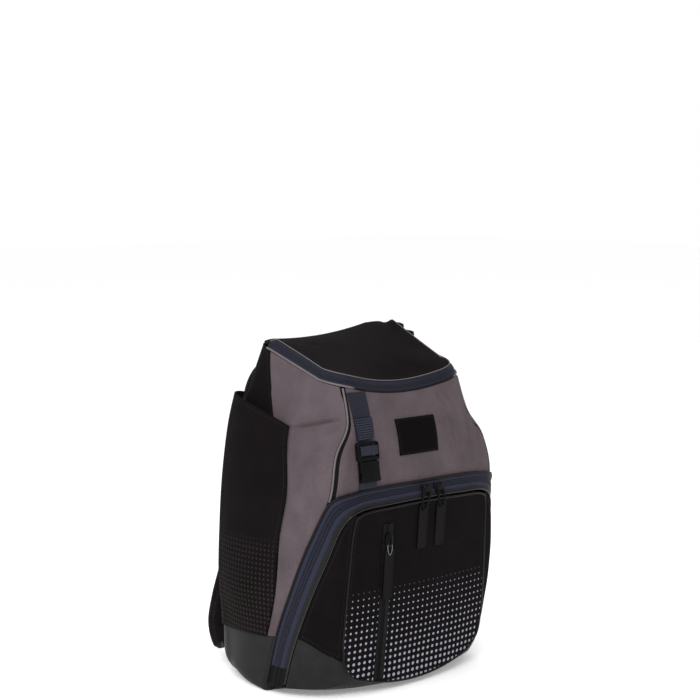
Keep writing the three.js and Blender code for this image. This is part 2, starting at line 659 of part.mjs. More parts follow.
sides.forEach(([word, side]) => {
  const end = STRAP.length - 1;
  const tip = strapPoint(side, STRAP[end]);
  const anchor = bodyAtHeight(side, AT.webbing, WEB.anchorZ);
  const boot = (u, v) => bodyPoint(side, u, v);
  anchor.addScaledVector(outward(boot, AT.webbing, RIM / 2), WEB.anchorLift);
  const way = anchor.clone().sub(tip).normalize();
  const wide = new THREE.Vector3(1, 0, 0).addScaledVector(way, -way.x).normalize();
  const up = wide.clone().cross(way);
  const basis = (centre) => new THREE.Matrix4().makeBasis(wide, way, up).setPosition(centre);
  const middle = tip.clone().addScaledVector(way, ADJUSTER.length / 2 + ADJUSTER.gap);
  const room = ADJUSTER.room;
  const adjusterRoom = slab(2 * room, ADJUSTER.length + 2 * GAP, room, 0, 0, -room / 2)
    .applyMatrix4(basis(middle));
  const rings = Array.from({ length: STRAP_STEPS + 1 }, (_, i) => strapRing(side, i / STRAP_STEPS * end));
  add(`shoulder_strap_${word}`, cut(loft(rings), backClear, adjusterRoom), 'black');
  add(`strap_adjuster_${word}`, plate(ADJUSTER.width, ADJUSTER.length, ADJUSTER.thick, ADJUSTER.corner)
    .translate(0, 0, -ADJUSTER.thick / 2).applyMatrix4(basis(middle)), 'plastic', 0.5);
  const start = tip.clone().addScaledVector(way, ADJUSTER.length + ADJUSTER.gap + GAP);
  const length = anchor.distanceTo(start);
  add(`strap_webbing_${word}`, slab(WEB.width, length, WEB.thick, 0, 0, -WEB.thick / 2)
    .applyMatrix4(basis(start.lerp(anchor, 0.5))), 'black');
});

// Buckled strap at the front left: webbing down the front panel, plug, socket, short webbing to the pocket
const BUCKLE = {
  x: -95, lean: 4, topZ: 404, webZ: 347, plugTop: 344, meet: 319, socketFoot: 292, loopTop: 291.6,
  loopFoot: 283.4, width: 35, thick: 9, wall: 2, lift: 1.2, corner: 5, loopLift: 1.6,
};
const SEARCH = { rounds: 12, span: 300 };
const frontWide = (u, v) => {
  const turn = lerp(-1, 1, u) * (1 - AT.frontCorner);
  return bodyPoint(turn < 0 ? LEFT : RIGHT, 1 - Math.abs(turn), lerp(RIM, TOP, v));
};
const frontAt = (x, z) => {
  let [low, high] = [0, 1];
  let u = 0.5;
  for (let i = 0; i < SEARCH.rounds; i += 1) {
    [low, high] = [0, 1];
    for (let k = 0; k < HALVINGS; k += 1) {
      const v = (low + high) / 2;
      if (frontWide(u, v).z < z) low = v;
      else high = v;
    }
    u = clamp(u + (x - frontWide(u, low).x) / SEARCH.span, 0, 1);
  }
  return [u, low];
};
const webSurface = (low, high, lean = 0) => (u, v) => {
  const z = lerp(low, high, v);
  const across = lerp(-WEB.front, WEB.front, u) / 2;
  return frontWide(...frontAt(BUCKLE.x + lean * v + across * WEB.turned, z));
};
const raised = (point, lift) => lifted(point, () => lift);
const upperWeb = webSurface(BUCKLE.webZ, BUCKLE.topZ, BUCKLE.lean);
add('buckle_webbing_upper', sheet(raised(upperWeb, WEB.thick + WEB.lift), {
  across: 3, along: 8, thick: WEB.thick, trim: [0, 0, 0, 0],
}), 'slate', 0.8);
const lowerWeb = webSurface(BUCKLE.loopFoot, BUCKLE.loopTop);
add('buckle_webbing_lower', sheet(raised(lowerWeb, WEB.thick + BUCKLE.loopLift), {
  across: 3, along: 2, thick: WEB.thick, trim: [0, 0, 0, 0],
}), 'slate', 0.8);
const buckleFrame = frameOn(frontWide, ...frontAt(BUCKLE.x, BUCKLE.meet), BUCKLE.lift);

// The socket is hollow from its top, with a window at each side where the plug's arms show.
const wall = BUCKLE.wall;
const inside = BUCKLE.thick - 2 * wall;
const socketTall = BUCKLE.meet - BUCKLE.socketFoot;
const WINDOW = { share: 0.45, place: 0.42 };
const socketHollow = slab(BUCKLE.width - 2 * wall, socketTall, inside, 0, -socketTall / 2 + 2 * wall, wall);
const socketWindows = slab(
  BUCKLE.width + 2 * wall, socketTall * WINDOW.share, inside, 0, -socketTall * WINDOW.place, wall,
);
add('buckle_socket', cut(
  plate(BUCKLE.width, socketTall, BUCKLE.thick, BUCKLE.corner).translate(0, -socketTall / 2 - GAP, 0),
  socketHollow,
  socketWindows,
).applyMatrix4(buckleFrame), 'plastic', 0.5);

// The plug: a head with two slots for the webbing, two spring arms and a middle tongue
const plugTall = BUCKLE.plugTop - BUCKLE.meet;
const PLUG = {
  head: 0.8, corner: 4, lift: 0.6, arm: 4, armPlace: 3.4, armShare: 0.62, tongue: 9, tongueShare: 0.5,
  play: 0.5, root: 1, slot: 4.4, slotRoom: 1.5, slots: [0.42, 0.75],
};
const prong = (x, width, share) => slab(
  width, socketTall * share, inside - 2 * PLUG.play, x, PLUG.root - socketTall * share / 2, wall + PLUG.play,
);
const webSlot = (share) => slab(
  WEB.front + PLUG.slotRoom, PLUG.slot, 2 * BUCKLE.thick, 0, plugTall * share, -BUCKLE.thick / 2,
);
const armX = BUCKLE.width / 2 - wall - PLUG.armPlace;
const plugHead = plate(BUCKLE.width, plugTall, BUCKLE.thick * PLUG.head, PLUG.corner)
  .translate(0, plugTall / 2 + GAP, PLUG.lift);
add('buckle_plug', cut(joined(
  plugHead,
  prong(-armX, PLUG.arm, PLUG.armShare),
  prong(armX, PLUG.arm, PLUG.armShare),
  prong(0, PLUG.tongue, PLUG.tongueShare),
), ...PLUG.slots.map(webSlot)).applyMatrix4(buckleFrame), 'plastic', 0.5);

// Bare patch sewn to the front panel
const PATCH = { x: 1, z: 343, width: 71, height: 47, thick: 1.4, lift: 0.5 };
const patchSurface = (u, v) => frontWide(...frontAt(
  PATCH.x + lerp(-PATCH.width, PATCH.width, u) / 2,
  PATCH.z + lerp(-PATCH.height, PATCH.height, v) / 2,
));
add('patch', sheet(raised(patchSurface, PATCH.thick + PATCH.lift), {
  across: 5, along: 4, thick: PATCH.thick, trim: [0, 0, 0, 0],
}), 'black');

// Zip sliders with their pull tags
const SLIDER = { width: 10, length: 14, thick: 4.5, corner: 3, lift: ZIP_CHAIN + 0.5 };
const TAG = { width: 17, thick: 2, corner: 3 };
const ACROSS = Math.PI / 2;
const MIDDLE = 0.5;
const slider = () => plate(SLIDER.width, SLIDER.length, SLIDER.thick, SLIDER.corner);
// A tag hangs down the pocket's face: from its top end to its foot, clear of the cloth between
function tagSeat(x, topZ, length, lift) {
  const surface = lifted(faceSurface, () => lift);
  const top = surface(...faceAt(x, topZ));
  const foot = surface(...faceAt(x, topZ - length));
  const up = top.clone().sub(foot).normalize();
  const across = new THREE.Vector3(1, 0, 0).addScaledVector(up, -up.x).normalize();
  return new THREE.Matrix4().makeBasis(across, up, across.clone().cross(up))
    .setPosition(top.lerp(foot, MIDDLE));
}
function hang(name, point, u, v, turn, { tagX, tagTop, tagLong, tagLift }) {
  const seat = frameOn(point, u, v, SLIDER.lift);
  add(`${name}_slider`, slider().rotateZ(turn).applyMatrix4(seat), 'plastic', 0.4);
  const tag = plate(TAG.width, tagLong, TAG.thick, TAG.corner);
  add(`${name}_tag`, tag.applyMatrix4(tagSeat(tagX, tagTop, tagLong, tagLift)), 'black');
}
const pocketU = (x) => {
  const half = sample(POCKET, 1).bandHalf;
  return MIDDLE + x / half / 2 / POCKET_END;
};
const POCKET_PULLS = table(['name', 'x', 'tagX', 'tagTop', 'tagLong', 'tagLift'], [
  ['pocket_zip_a', 3, -6, 254, 62, 0.45],
  ['pocket_zip_b', 29, 27, 254, 62, 0.5],
]);
POCKET_PULLS.forEach((pull) => hang(pull.name, pocketZipSurface, pocketU(pull.x), MIDDLE, ACROSS, pull));
const FACE_PULL = { v: 0.9, tagX: -64, tagTop: 200, tagLong: 68, tagLift: 1.45 };
hang('face_zip', faceZipSurface, MIDDLE, FACE_PULL.v, 0, FACE_PULL);
const LID_PULLS = { lid_zip_a: 0.97, lid_zip_b: 0.925 };
Object.entries(LID_PULLS).forEach(([name, u]) => {
  const seat = frameOn(lidZip, u, MIDDLE, SLIDER.lift);
  add(`${name}_slider`, slider().rotateZ(ACROSS).applyMatrix4(seat), 'plastic', 0.4);
});

export default bag;
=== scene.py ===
"""Looks of a baseball backpack that stands on its coated base: panels, zips, piping, straps, buckle and pulls."""

import math

import bpy
import numpy as np
from mathutils import Matrix, Vector, noise


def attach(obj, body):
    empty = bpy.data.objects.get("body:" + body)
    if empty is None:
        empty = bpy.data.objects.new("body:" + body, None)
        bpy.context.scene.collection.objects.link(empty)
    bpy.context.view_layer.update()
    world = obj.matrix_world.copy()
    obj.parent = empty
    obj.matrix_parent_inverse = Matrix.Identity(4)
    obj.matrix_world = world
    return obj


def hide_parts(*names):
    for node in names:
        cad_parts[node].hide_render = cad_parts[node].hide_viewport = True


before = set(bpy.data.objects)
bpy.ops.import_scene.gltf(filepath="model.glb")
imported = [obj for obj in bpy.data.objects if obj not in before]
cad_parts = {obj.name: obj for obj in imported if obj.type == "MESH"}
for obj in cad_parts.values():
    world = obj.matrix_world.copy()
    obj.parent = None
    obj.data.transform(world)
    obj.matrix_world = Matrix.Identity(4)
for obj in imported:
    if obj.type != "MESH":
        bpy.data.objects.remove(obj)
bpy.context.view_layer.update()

bl_info = {
    "name": "Baseball backpack",
    "version": (1, 0, 0),
    "blender": (4, 5, 0),
    "location": "View3D > Sidebar > Backpack",
    "description": "Builds the cloth, trim and hardware of a baseball backpack around its packed frame",
    "category": "Object",
}

# Sizes are in millimetres in the tables below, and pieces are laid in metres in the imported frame.
MM = 0.001
LEFT, RIGHT = -1.0, 1.0
SIDES = (("left", LEFT), ("right", RIGHT))
CENTRE_Y = -23.4
GAP = 0.35
CLOTH = 2.0
COATED = 2.4
BACK_PAD = 10.0
PIPING = 1.4
SEAM = PIPING + 0.6
TAPE = 1.8
HALVINGS = 17
# Points closer than this are merged where a grid closes on itself
WELD = 0.02
BODY = "root"


def linear(hex_colour):
    """Linear RGB of an sRGB hex colour."""
    channels = [int(hex_colour[i:i + 2], 16) / 255 for i in (1, 3, 5)]
    return [c / 12.92 if c <= 0.04045 else ((c + 0.055) / 1.055) ** 2.4 for c in channels]


# Form of the bag: the same tables and surfaces as the solids, over arrays of places

def table(names, rows):
    return dict(zip(names.split(), np.array(rows, float).T))


def mix(a, b, t):
    return a + (b - a) * t


def smooth(x, low, high):
    t = np.clip((x - low) / (high - low), 0, 1)
    return t * t * (3 - 2 * t)


def vec(*parts):
    return np.stack(np.broadcast_arrays(*[np.asarray(p, float) for p in parts]), axis=-1)


def unit(v):
    return v / np.maximum(np.linalg.norm(v, axis=-1, keepdims=True), 1e-9)


def sample(rows, place):
    """Values between the rows of a table, smoothly; place 0 is the first row."""
    last = len(next(iter(rows.values()))) - 1
    at = np.clip(np.asarray(place, float), 0, last)
    i = np.minimum(np.floor(at).astype(int), last - 1)
    t = at - i
    found = {}
    for name, column in rows.items():
        start, end = column[i], column[i + 1]
        leave = (end - column[np.maximum(i - 1, 0)]) / 2
        arrive = (column[np.minimum(i + 2, last)] - start) / 2
        change = end - start
        bend = 3 * change - 2 * leave - arrive
        found[name] = start + t * (leave + t * (bend + t * (leave + arrive - 2 * change)))
    return found


RINGS = table(
    "backZ sag backY backHalf backR bulge cornerZ cornerY cornerHalf cornerR frontZ frontY sleeve lining lean drawn",
    [
        [0, 0, 113, 163, 32, 4, 0, -4, 175, 14, 0, -4, 0.575, 0.575, 0, 0],
        [71, 0, 114, 165, 32, 6, 79, -26, 172.5, 14, 79, -26, 0.585, 0.585, 0, 0],
        [130, 0, 115, 165, 32, 7, 130, -45, 169, 14, 130, -45, 0.572, 0.572, 0, 0],
        [202, 0, 115, 161, 32, 7, 200, -75, 163, 16, 200, -76, 0.53, 0.53, 0, 0],
        [287, 0, 112, 153, 32, 6, 270, -112, 155, 22, 272, -119, 0.504, 0.48, 0, 0],
        [355, 0, 106, 142, 32, 4, 328, -114, 145, 28, 326, -117, 0.482, 0.43, 0.01, 3],
        [420, 2, 96, 126, 32, 0, 367, -114, 124, 36, 362, -108, 0.455, 0.35, 0.04, 9],
        [468, 6, 82, 117, 30, 0, 416, -97, 118, 45, 401, -91, 0.43, 0.3, 0.07, 2],
    ],
)
TOP, RIM = 7.0, 1.0
AT = {"backCorner": 0.2, "webbing": 0.18, "backSeam": 0.25, "side": 0.3, "frontCorner": 0.6, "frontSeam": 0.65,
      "front": 0.7}
FOOT = table("place radius", [[0, 36], [0.25, 38], [0.45, 20], [0.65, 5], [1, 4]])
AXIS_Y = 45.0
INSIDE = np.array([0.0, 0.0, 180.0])
STEP = 1e-3


def bezier(a, b, c, t):
    return a * (1 - t) ** 2 + b * 2 * t * (1 - t) + c * t ** 2


def plan(ring, s):
    """Plan of a ring at place s, 0 at the middle of the back and 1 at the middle of the front."""
    back = vec(ring["backHalf"], ring["backY"])
    corner = vec(ring["cornerHalf"], ring["cornerY"])
    pull = vec(ring["cornerHalf"] / 2, ring["frontY"])
    along, ahead = unit(corner - back), unit(pull - corner)
    back_start = vec(ring["backHalf"] - ring["backR"], ring["backY"])
    side_start = back + along * ring["backR"][..., None]
    side_end = corner - along * ring["cornerR"][..., None]
    front_start = corner + ahead * ring["cornerR"][..., None]

    def share(low, high):
        return np.clip((s - low) / (high - low), 0, 1)[..., None]

    place = s[..., None]
    out = vec(-along[..., 1], along[..., 0])
    across = share(AT["side"], AT["frontCorner"])
    side = mix(side_start, side_end, across) + out * ring["bulge"][..., None] * np.sin(np.pi * across)
    flat = vec(back_start[..., 0] * s / AT["backCorner"], ring["backY"])
    turned = bezier(back_start, back, side_start, share(AT["backCorner"], AT["side"]))
    flat = np.where(place < AT["backCorner"], flat, turned)
    flat = np.where(place < AT["side"], flat, side)
    turned = bezier(side_end, corner, front_start, share(AT["frontCorner"], AT["front"]))
    flat = np.where(place < AT["frontCorner"], flat, turned)
    middle = vec(ring["frontY"] * 0, ring["frontY"])
    return np.where(place < AT["front"], flat, bezier(front_start, pull, middle, share(AT["front"], 1)))


def body_point(side, s, place):
    """Points of the main compartment's outer surface."""
    side, s, place = np.broadcast_arrays(*[np.asarray(a, float) for a in (side, s, place)])
    ring = sample(RINGS, place)
    flat = plan(ring, s)
    height = ring["backZ"] - ring["sag"] * (1 - np.minimum(s / AT["backCorner"], 1) ** 2)
    forward = np.clip((s - AT["backSeam"]) / (AT["frontSeam"] - AT["backSeam"]), 0, 1)
    height = np.where(s > AT["backSeam"], mix(ring["backZ"], ring["cornerZ"], forward), height)
    seam = plan(ring, s * 0 + AT["frontSeam"])
    left = np.clip(flat[..., 0] / seam[..., 0], 0, 1)
    front = mix(ring["cornerZ"], ring["frontZ"], 1 - left ** 2)
    height = np.where(s > AT["frontSeam"], front, height)
    radius = np.interp(s, FOOT["place"], FOOT["radius"])
    under = np.maximum(radius - height, 0)
    inset = radius - np.sqrt(np.maximum(radius ** 2 - under ** 2, 0))
    flat = flat - unit(flat - np.array([0.0, AXIS_Y])) * inset[..., None]
    tilt = ring["lean"] * side * flat[..., 0] * (1 - forward)
    drawn = np.where(side > 0, ring["drawn"] * flat[..., 0] / ring["cornerHalf"], 0)
    return vec(side * (flat[..., 0] - drawn), flat[..., 1], height + tilt)


def body_at_height(side, s, z):
    """The body's surface at places on the ring and heights."""
    side, s, z = np.broadcast_arrays(*[np.asarray(a, float) for a in (side, s, z)])
    low, high = np.zeros(s.shape), np.full(s.shape, TOP)
    for _ in range(HALVINGS):
        middle = (low + high) / 2
        under = body_point(side, s, middle)[..., 2] < z
        low, high = np.where(under, middle, low), np.where(under, high, middle)
    return body_point(side, s, low)


def slopes(point, u, v):
    ua, ub = np.maximum(u - STEP, 0), np.minimum(u + STEP, 1)
    va, vb = np.maximum(v - STEP, 0), np.minimum(v + STEP, 1)
    across = (point(ub, v) - point(ua, v)) / (ub - ua)[..., None]
    return across, (point(u, vb) - point(u, va)) / (vb - va)[..., None]


def outward(point, u, v):
    across, along = slopes(point, np.clip(u, 0, 1), np.clip(v, 0, 1))
    normal = unit(np.cross(across, along))
    away = np.sum(normal * (point(u, v) - INSIDE), axis=-1, keepdims=True)
    return np.where(away < 0, -normal, normal)


def lifted(point, lift):
    """The surface moved outward by a distance that may change over it."""
    return lambda u, v: point(u, v) + outward(point, u, v) * np.asarray(lift(u, v), float)[..., None]


def two_sided(u, reach):
    turn = mix(-reach, reach, u)
    return np.where(turn < 0, LEFT, RIGHT), np.abs(turn)


def back_surface(u, v):
    side, turn = two_sided(u, AT["backSeam"])
    return body_point(side, turn, mix(RIM, TOP, v))


def front_wide(u, v):
    side, turn = two_sided(u, 1 - AT["frontCorner"])
    return body_point(side, 1 - turn, mix(RIM, TOP, v))


def front_surface(u, v):
    side, turn = two_sided(u, 1 - AT["frontSeam"])
    return body_point(side, 1 - turn, mix(RIM, TOP, v))


def side_surface(side):
    def point(u, v):
        place = mix(RIM, TOP, v)
        return body_point(side, mix(sample(RINGS, place)["lining"], AT["frontSeam"], u), place)
    return point


def lining_surface(side):
    def point(u, v):
        place = mix(RIM, TOP, v)
        return body_point(side, mix(AT["backSeam"], sample(RINGS, place)["lining"], u), place)
    return point


SLEEVE = {"mouthBack": 5.6, "mouthFront": 5.36, "bulge": 26, "belly": 9, "foot": 0.16, "back": 0.62}


def sleeve_surface(side):
    def base(u, v):
        place = mix(RIM, mix(SLEEVE["mouthBack"], SLEEVE["mouthFront"], u), v)
        return body_point(side, mix(AT["backSeam"], sample(RINGS, place)["sleeve"], u), place)

    def lift(u, v):
        full = mix(SLEEVE["belly"], SLEEVE["bulge"], v * v) * smooth(v, 0, SLEEVE["foot"] * 2)
        return CLOTH + 2 * GAP + full * np.sin(np.pi * u ** SLEEVE["back"])
    return lifted(base, lift)


LID = {"hinge": 0.262, "opened": 0.31, "rise": 14, "inset": 9, "rest": CLOTH + 0.6, "dome": 3, "middle": 0.5,
       "middleY": -8, "trim": SEAM + 0.4, "zipStart": 0.018, "sideFrom": 0.36}
UNDER_LID = LID["rest"] - CLOTH + GAP - 0.1
# Rise of a zip's coil and half its share of the width, and the same of the slit in it
ZIP_CHAIN, CHAIN_HALF, SLIT, SLIT_HALF = 1.2, 0.16, 0.9, 0.035
ZIP_TRIM = SEAM * 0.7


def inward_of(p):
    return unit(vec(-p[..., 0], LID["middleY"] - p[..., 1], p[..., 0] * 0))


def lid_edge(side, s):
    p = body_point(side, s, TOP)
    opened = smooth(np.asarray(s, float), LID["hinge"], LID["opened"])
    p = p + inward_of(p) * (LID["inset"] * opened)[..., None]
    p[..., 2] += mix(LID["rest"], LID["rise"], opened)
    return p


def lid_zip(u, v):
    side, turn = two_sided(mix(LID["zipStart"], 1 - LID["zipStart"], u), 1 - LID["hinge"])
    return mix(body_point(side, 1 - turn, TOP), lid_edge(side, 1 - turn), np.asarray(v, float)[..., None])


POCKET = table(
    "seam seamZ lift bandHalf bandY bandZ faceHalf faceY faceZ",
    [
        [1, 282, 2.8, 0, -134, 262, 0, -135, 257],
        [0.87, 282, 2.8, 62, -134, 261, 58, -135, 256],
        [0.74, 279, 2.8, 115, -129, 257, 110, -130, 252],
        [0.652, 266, 2.8, 139, -120, 237, 122, -126, 236],
        [0.65, 205, 0.6, 150, -104, 192, 126, -121, 185],
        [0.65, 140, 0.6, 160, -80, 134, 129, -115, 112],
        [0.65, 70, 2.4, 167, -55, 68, 127, -110, 63],
        [0.65, 8, 2.4, 169, -38, 12, 103, -107, 26],
    ],
)
POCKET_END, FACE_TOP = 7.0, 2.0
SEAM_SLANT = math.pi / 4
GUSSET = {"top": 2.25, "full": 4.5, "coatedBack": 5.74, "coatedFace": 6.2, "bow": 0.14, "bulge": 9}
POCKET_FLOOR = {"z": COATED, "backHalf": 164, "backY": -7.5, "bend": 0.28, "middleY": -112, "middleZ": 10, "curl": 3}
FACE = {"bulge": 2, "corner": 6, "bottomY": -112, "bottomZ": 10, "bottomShare": 0.14, "opening": 0.004,
        "trim": SEAM * 0.6}
FACE_ZIP = {"x": -66, "topZ": 234, "footZ": 20, "width": 17, "sunk": 1.2, "bed": 0.62, "lift": 0.2}


def pocket_line(side, t, line):
    row = sample(POCKET, t)
    if line != "seam":
        # The face's lower corners are rounded a little beyond the solid's straight cut
        low = np.clip(np.asarray(t, float) - POCKET_END + 1, 0, 1)
        corner = FACE["corner"] * 4 * low * (1 - low) * (line == "face")
        return vec(side * (row[line + "Half"] + corner), row[line + "Y"], row[line + "Z"])
    p = body_at_height(side, row["seam"], row["seamZ"])
    slant = mix(0, SEAM_SLANT, smooth(np.asarray(t, float), FACE_TOP, FACE_TOP + 1))
    return p + vec(side * np.sin(slant), -np.cos(slant), slant * 0) * row["lift"][..., None]


def pocket_zip(u, v):
    side, t = two_sided(u, POCKET_END)
    return mix(pocket_line(side, t, "seam"), pocket_line(side, t, "band"), np.asarray(v, float)[..., None])


def gusset_surface(side, start, end):
    def base(u, v):
        t = mix(start(u), end(u), v)
        return mix(pocket_line(side, t, "band"), pocket_line(side, t, "face"), np.asarray(u, float)[..., None])

    def belly(u, v):
        t = mix(start(u), end(u), v)
        return GUSSET["bulge"] * np.sin(np.pi * u) * smooth(t, GUSSET["top"], GUSSET["full"])
    return lifted(base, belly)


def coated_line(u):
    return mix(GUSSET["coatedBack"], GUSSET["coatedFace"], u) - GUSSET["bow"] * np.sin(np.pi * u)


def pocket_corner(side):
    """The coated part of a gusset, from its upper line to the floor."""
    return gusset_surface(side, coated_line, lambda u: u * 0 + POCKET_END)


def pocket_foot(u):
    u = np.asarray(u, float)
    return pocket_corner(RIGHT)(u, u * 0 + 1)


def pocket_floor(u, v):
    turn = mix(-1, 1, u)
    bend = POCKET_FLOOR["bend"]
    band = pocket_line(RIGHT, POCKET_END, "band")
    back = vec(POCKET_FLOOR["backHalf"], POCKET_FLOOR["backY"], POCKET_FLOOR["z"])
    low = mix(back, band, np.clip(v / bend, 0, 1)[..., None])
    edge = np.where((v < bend)[..., None], low, pocket_foot(np.clip((v - bend) / (1 - bend), 0, 1)))
    toe = pocket_foot(1.0)
    bow = v ** 4 * (1 - turn ** 2)
    curl = 1 - (1 - np.abs(turn) ** POCKET_FLOOR["curl"]) * (1 - v ** POCKET_FLOOR["curl"])
    y = edge[..., 1] + bow * (POCKET_FLOOR["middleY"] - toe[1])
    z = edge[..., 2] + bow * (POCKET_FLOOR["middleZ"] - toe[2])
    return vec(turn * edge[..., 0], y, z * curl)


FACE_LOW = pocket_line(RIGHT, POCKET_END, "face")
FACE_HIGH = pocket_line(RIGHT, FACE_TOP, "face")
FACE_MIDDLE = {name: column[0] for name, column in POCKET.items()}


def face_surface(u, v):
    turn = mix(-1, 1, u)
    edge = pocket_line(RIGHT, mix(POCKET_END, FACE_TOP, v), "face")
    middle = 1 - turn ** 2
    height = (edge[..., 2] - FACE_LOW[2]) / (FACE_HIGH[2] - FACE_LOW[2])
    bow_z = mix(FACE["bottomZ"] - FACE_LOW[2], FACE_MIDDLE["faceZ"] - FACE_HIGH[2], height)
    bow_y = mix(FACE["bottomY"] - FACE_LOW[1], FACE_MIDDLE["faceY"] - FACE_HIGH[1], height)
    y = edge[..., 1] + middle * bow_y - FACE["bulge"] * (1 - turn ** 4) * np.sin(np.pi * v)
    return vec(turn * edge[..., 0], y, edge[..., 2] + middle * bow_z)


def search(surface, x, z):
    """Places (u, v) of a surface whose points have the given x and z."""
    x, z = np.broadcast_arrays(np.asarray(x, float), np.asarray(z, float))
    u_low, u_high = np.zeros(x.shape), np.ones(x.shape)
    for _ in range(HALVINGS):
        u = (u_low + u_high) / 2
        low, high = np.zeros(x.shape), np.ones(x.shape)
        for _ in range(HALVINGS):
            v = (low + high) / 2
            under = surface(u, v)[..., 2] < z
            low, high = np.where(under, v, low), np.where(under, high, v)
        short = surface(u, low)[..., 0] < x
        u_low, u_high = np.where(short, u, u_low), np.where(short, u_high, u)
    return u, low


def face_outline(u):
    bottom = FACE["bottomShare"]
    side, t = two_sided(np.clip((u - bottom) / (1 - 2 * bottom), 0, 1), POCKET_END)
    round_top = pocket_line(side, t, "face")
    turn = np.where(u < 0.5, -u, 1 - u) / bottom
    away = np.where(turn < 0, -1.0, 1.0)
    under = face_surface(mix(FACE["opening"], 1, np.clip(np.abs(turn), 0, 1)) * away / 2 + 0.5, u * 0)
    return np.where(((u > bottom) & (u < 1 - bottom))[..., None], round_top, under)


SEAM_LINE = {"foot": 4.0, "top": TOP - 0.12}


# Making of pieces

def deselect():
    if bpy.context.object and bpy.context.object.mode != "OBJECT":
        bpy.ops.object.mode_set(mode="OBJECT")
    bpy.ops.object.select_all(action="DESELECT")


def activate(piece):
    deselect()
    piece.select_set(True)
    bpy.context.view_layer.objects.active = piece


def apply(piece, kind, **settings):
    """Adds a modifier and applies it."""
    activate(piece)
    modifier = piece.modifiers.new(kind.title(), kind)
    for name, value in settings.items():
        setattr(modifier, name, value)
    bpy.ops.object.modifier_apply(modifier=modifier.name)


def edit(piece, *steps):
    """Runs edit-mode steps on a whole piece."""
    activate(piece)
    bpy.ops.object.mode_set(mode="EDIT")
    bpy.ops.mesh.select_all(action="SELECT")
    for step in steps:
        step()
    bpy.ops.object.mode_set(mode="OBJECT")


def lengths(points, axis):
    """Running length over a grid of points along one of its axes."""
    step = np.linalg.norm(np.diff(points, axis=axis), axis=-1)
    start = np.zeros_like(np.take(step, [0], axis=axis))
    return np.concatenate([start, np.cumsum(step, axis=axis)], axis=axis)


def to_metres(points):
    return (points + np.array([0.0, CENTRE_Y, 0.0])) * MM


def grid_piece(name, points, rimmed=False):
    """A primitive grid laid over an array of points (rows, columns, 3) in millimetres.

    Its UV map Cloth runs in metres over the cloth; attribute inset is the distance to the nearest edge, or to the
    last row of a rimmed piece, and run the length along that edge; attribute across is the share from the first
    row to the last.
    """
    rows, columns = points.shape[:2]
    deselect()
    bpy.ops.mesh.primitive_grid_add(x_subdivisions=columns - 1, y_subdivisions=rows - 1, size=1)
    piece = bpy.context.object
    piece.name = name
    mesh = piece.data
    mesh.name = name
    mesh.vertices.foreach_set("co", to_metres(points).ravel())
    over, up = lengths(points, 1) * MM, lengths(points, 0) * MM
    index = np.empty(len(mesh.loops), int)
    mesh.loops.foreach_get("vertex_index", index)
    flat = np.stack([over.ravel()[index], up.ravel()[index]], axis=-1)
    mesh.uv_layers[0].name = "Cloth"
    mesh.uv_layers[0].data.foreach_set("uv", flat.ravel())
    if rimmed:
        inset, run = up[-1:] - up, np.broadcast_to(over[-1:], over.shape)
    else:
        edges = np.stack([over, over[:, -1:] - over, up, up[-1:] - up])
        inset, run = edges.min(axis=0), np.where(edges.argmin(axis=0) < 2, up, over)
    values = {"inset": inset, "run": run,
              "across": np.broadcast_to(np.linspace(0, 1, rows)[:, None], (rows, columns))}
    for key, value in values.items():
        mesh.attributes.new(key, "FLOAT", "POINT").data.foreach_set("value", np.ravel(value).astype(np.float32))
    mesh.update()
    return piece


def faces_out(piece, centre=INSIDE):
    """Turns an open sheet so that its faces point away from a point inside the bag."""
    mesh = piece.data
    centre = Vector(to_metres(np.asarray(centre, float)))
    away = sum(p.area * p.normal.dot(p.center - centre) for p in mesh.polygons)
    if away < 0:
        edit(piece, bpy.ops.mesh.flip_normals)


SMOOTH, PLATE_SMOOTH, PAD_SMOOTH = 40, 35, 60


def soften(piece, angle=SMOOTH):
    activate(piece)
    bpy.ops.object.shade_smooth_by_angle(angle=math.radians(angle))


def finish_piece(piece, material, slot, *nodes):
    piece.data.materials.clear()
    piece.data.materials.append(material)
    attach(piece, BODY)
    if nodes:
        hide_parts(*nodes)
    return piece


def trimmed(surface, across, along, trim):
    """A grid over a surface whose edges stop short by the trims, in the order u = 0, u = 1, v = 0, v = 1."""
    a, b = np.meshgrid(np.linspace(0, 1, across + 1), np.linspace(0, 1, along + 1))

    def short(u, v, way, length):
        return length / np.linalg.norm(slopes(surface, u, v)[way], axis=-1)

    u = mix(short(a * 0, b, 0, trim[0]), 1 - short(a * 0 + 1, b, 0, trim[1]), a)
    v = mix(short(a, b * 0, 1, trim[2]), 1 - short(a, b * 0 + 1, 1, trim[3]), b)
    return u, v


def cloth(name, surface, across, along, thick=CLOTH, trim=(GAP,) * 4, relief=None, raised=0.0):
    """A sheet of cloth over a surface.

    relief(points, u, v) gives the height of its folds, and raised how far its top edge is lifted, in millimetres.
    """
    u, v = trimmed(surface, across, along, trim)
    points = surface(u, v)
    if relief is not None:
        points = points + outward(surface, u, v) * relief(points, u, v)[..., None]
    points[-1, :, 2] += raised
    return sheet_of(name, points, thick)


def sheet_of(name, points, thick, centre=INSIDE):
    piece = grid_piece(name, points)
    faces_out(piece, centre)
    apply(piece, "SOLIDIFY", thickness=thick * MM, offset=-1, use_even_offset=False)
    soften(piece)
    return piece


def cup_of(name, rings, centre=INSIDE):
    """A skin through rings of points, from a middle point to its rim, facing away from the centre."""
    piece = grid_piece(name, rings, rimmed=True)
    edit(piece, lambda: bpy.ops.mesh.remove_doubles(threshold=WELD * MM),
         lambda: bpy.ops.mesh.normals_make_consistent(inside=False))
    faces_out(piece, centre)
    return piece


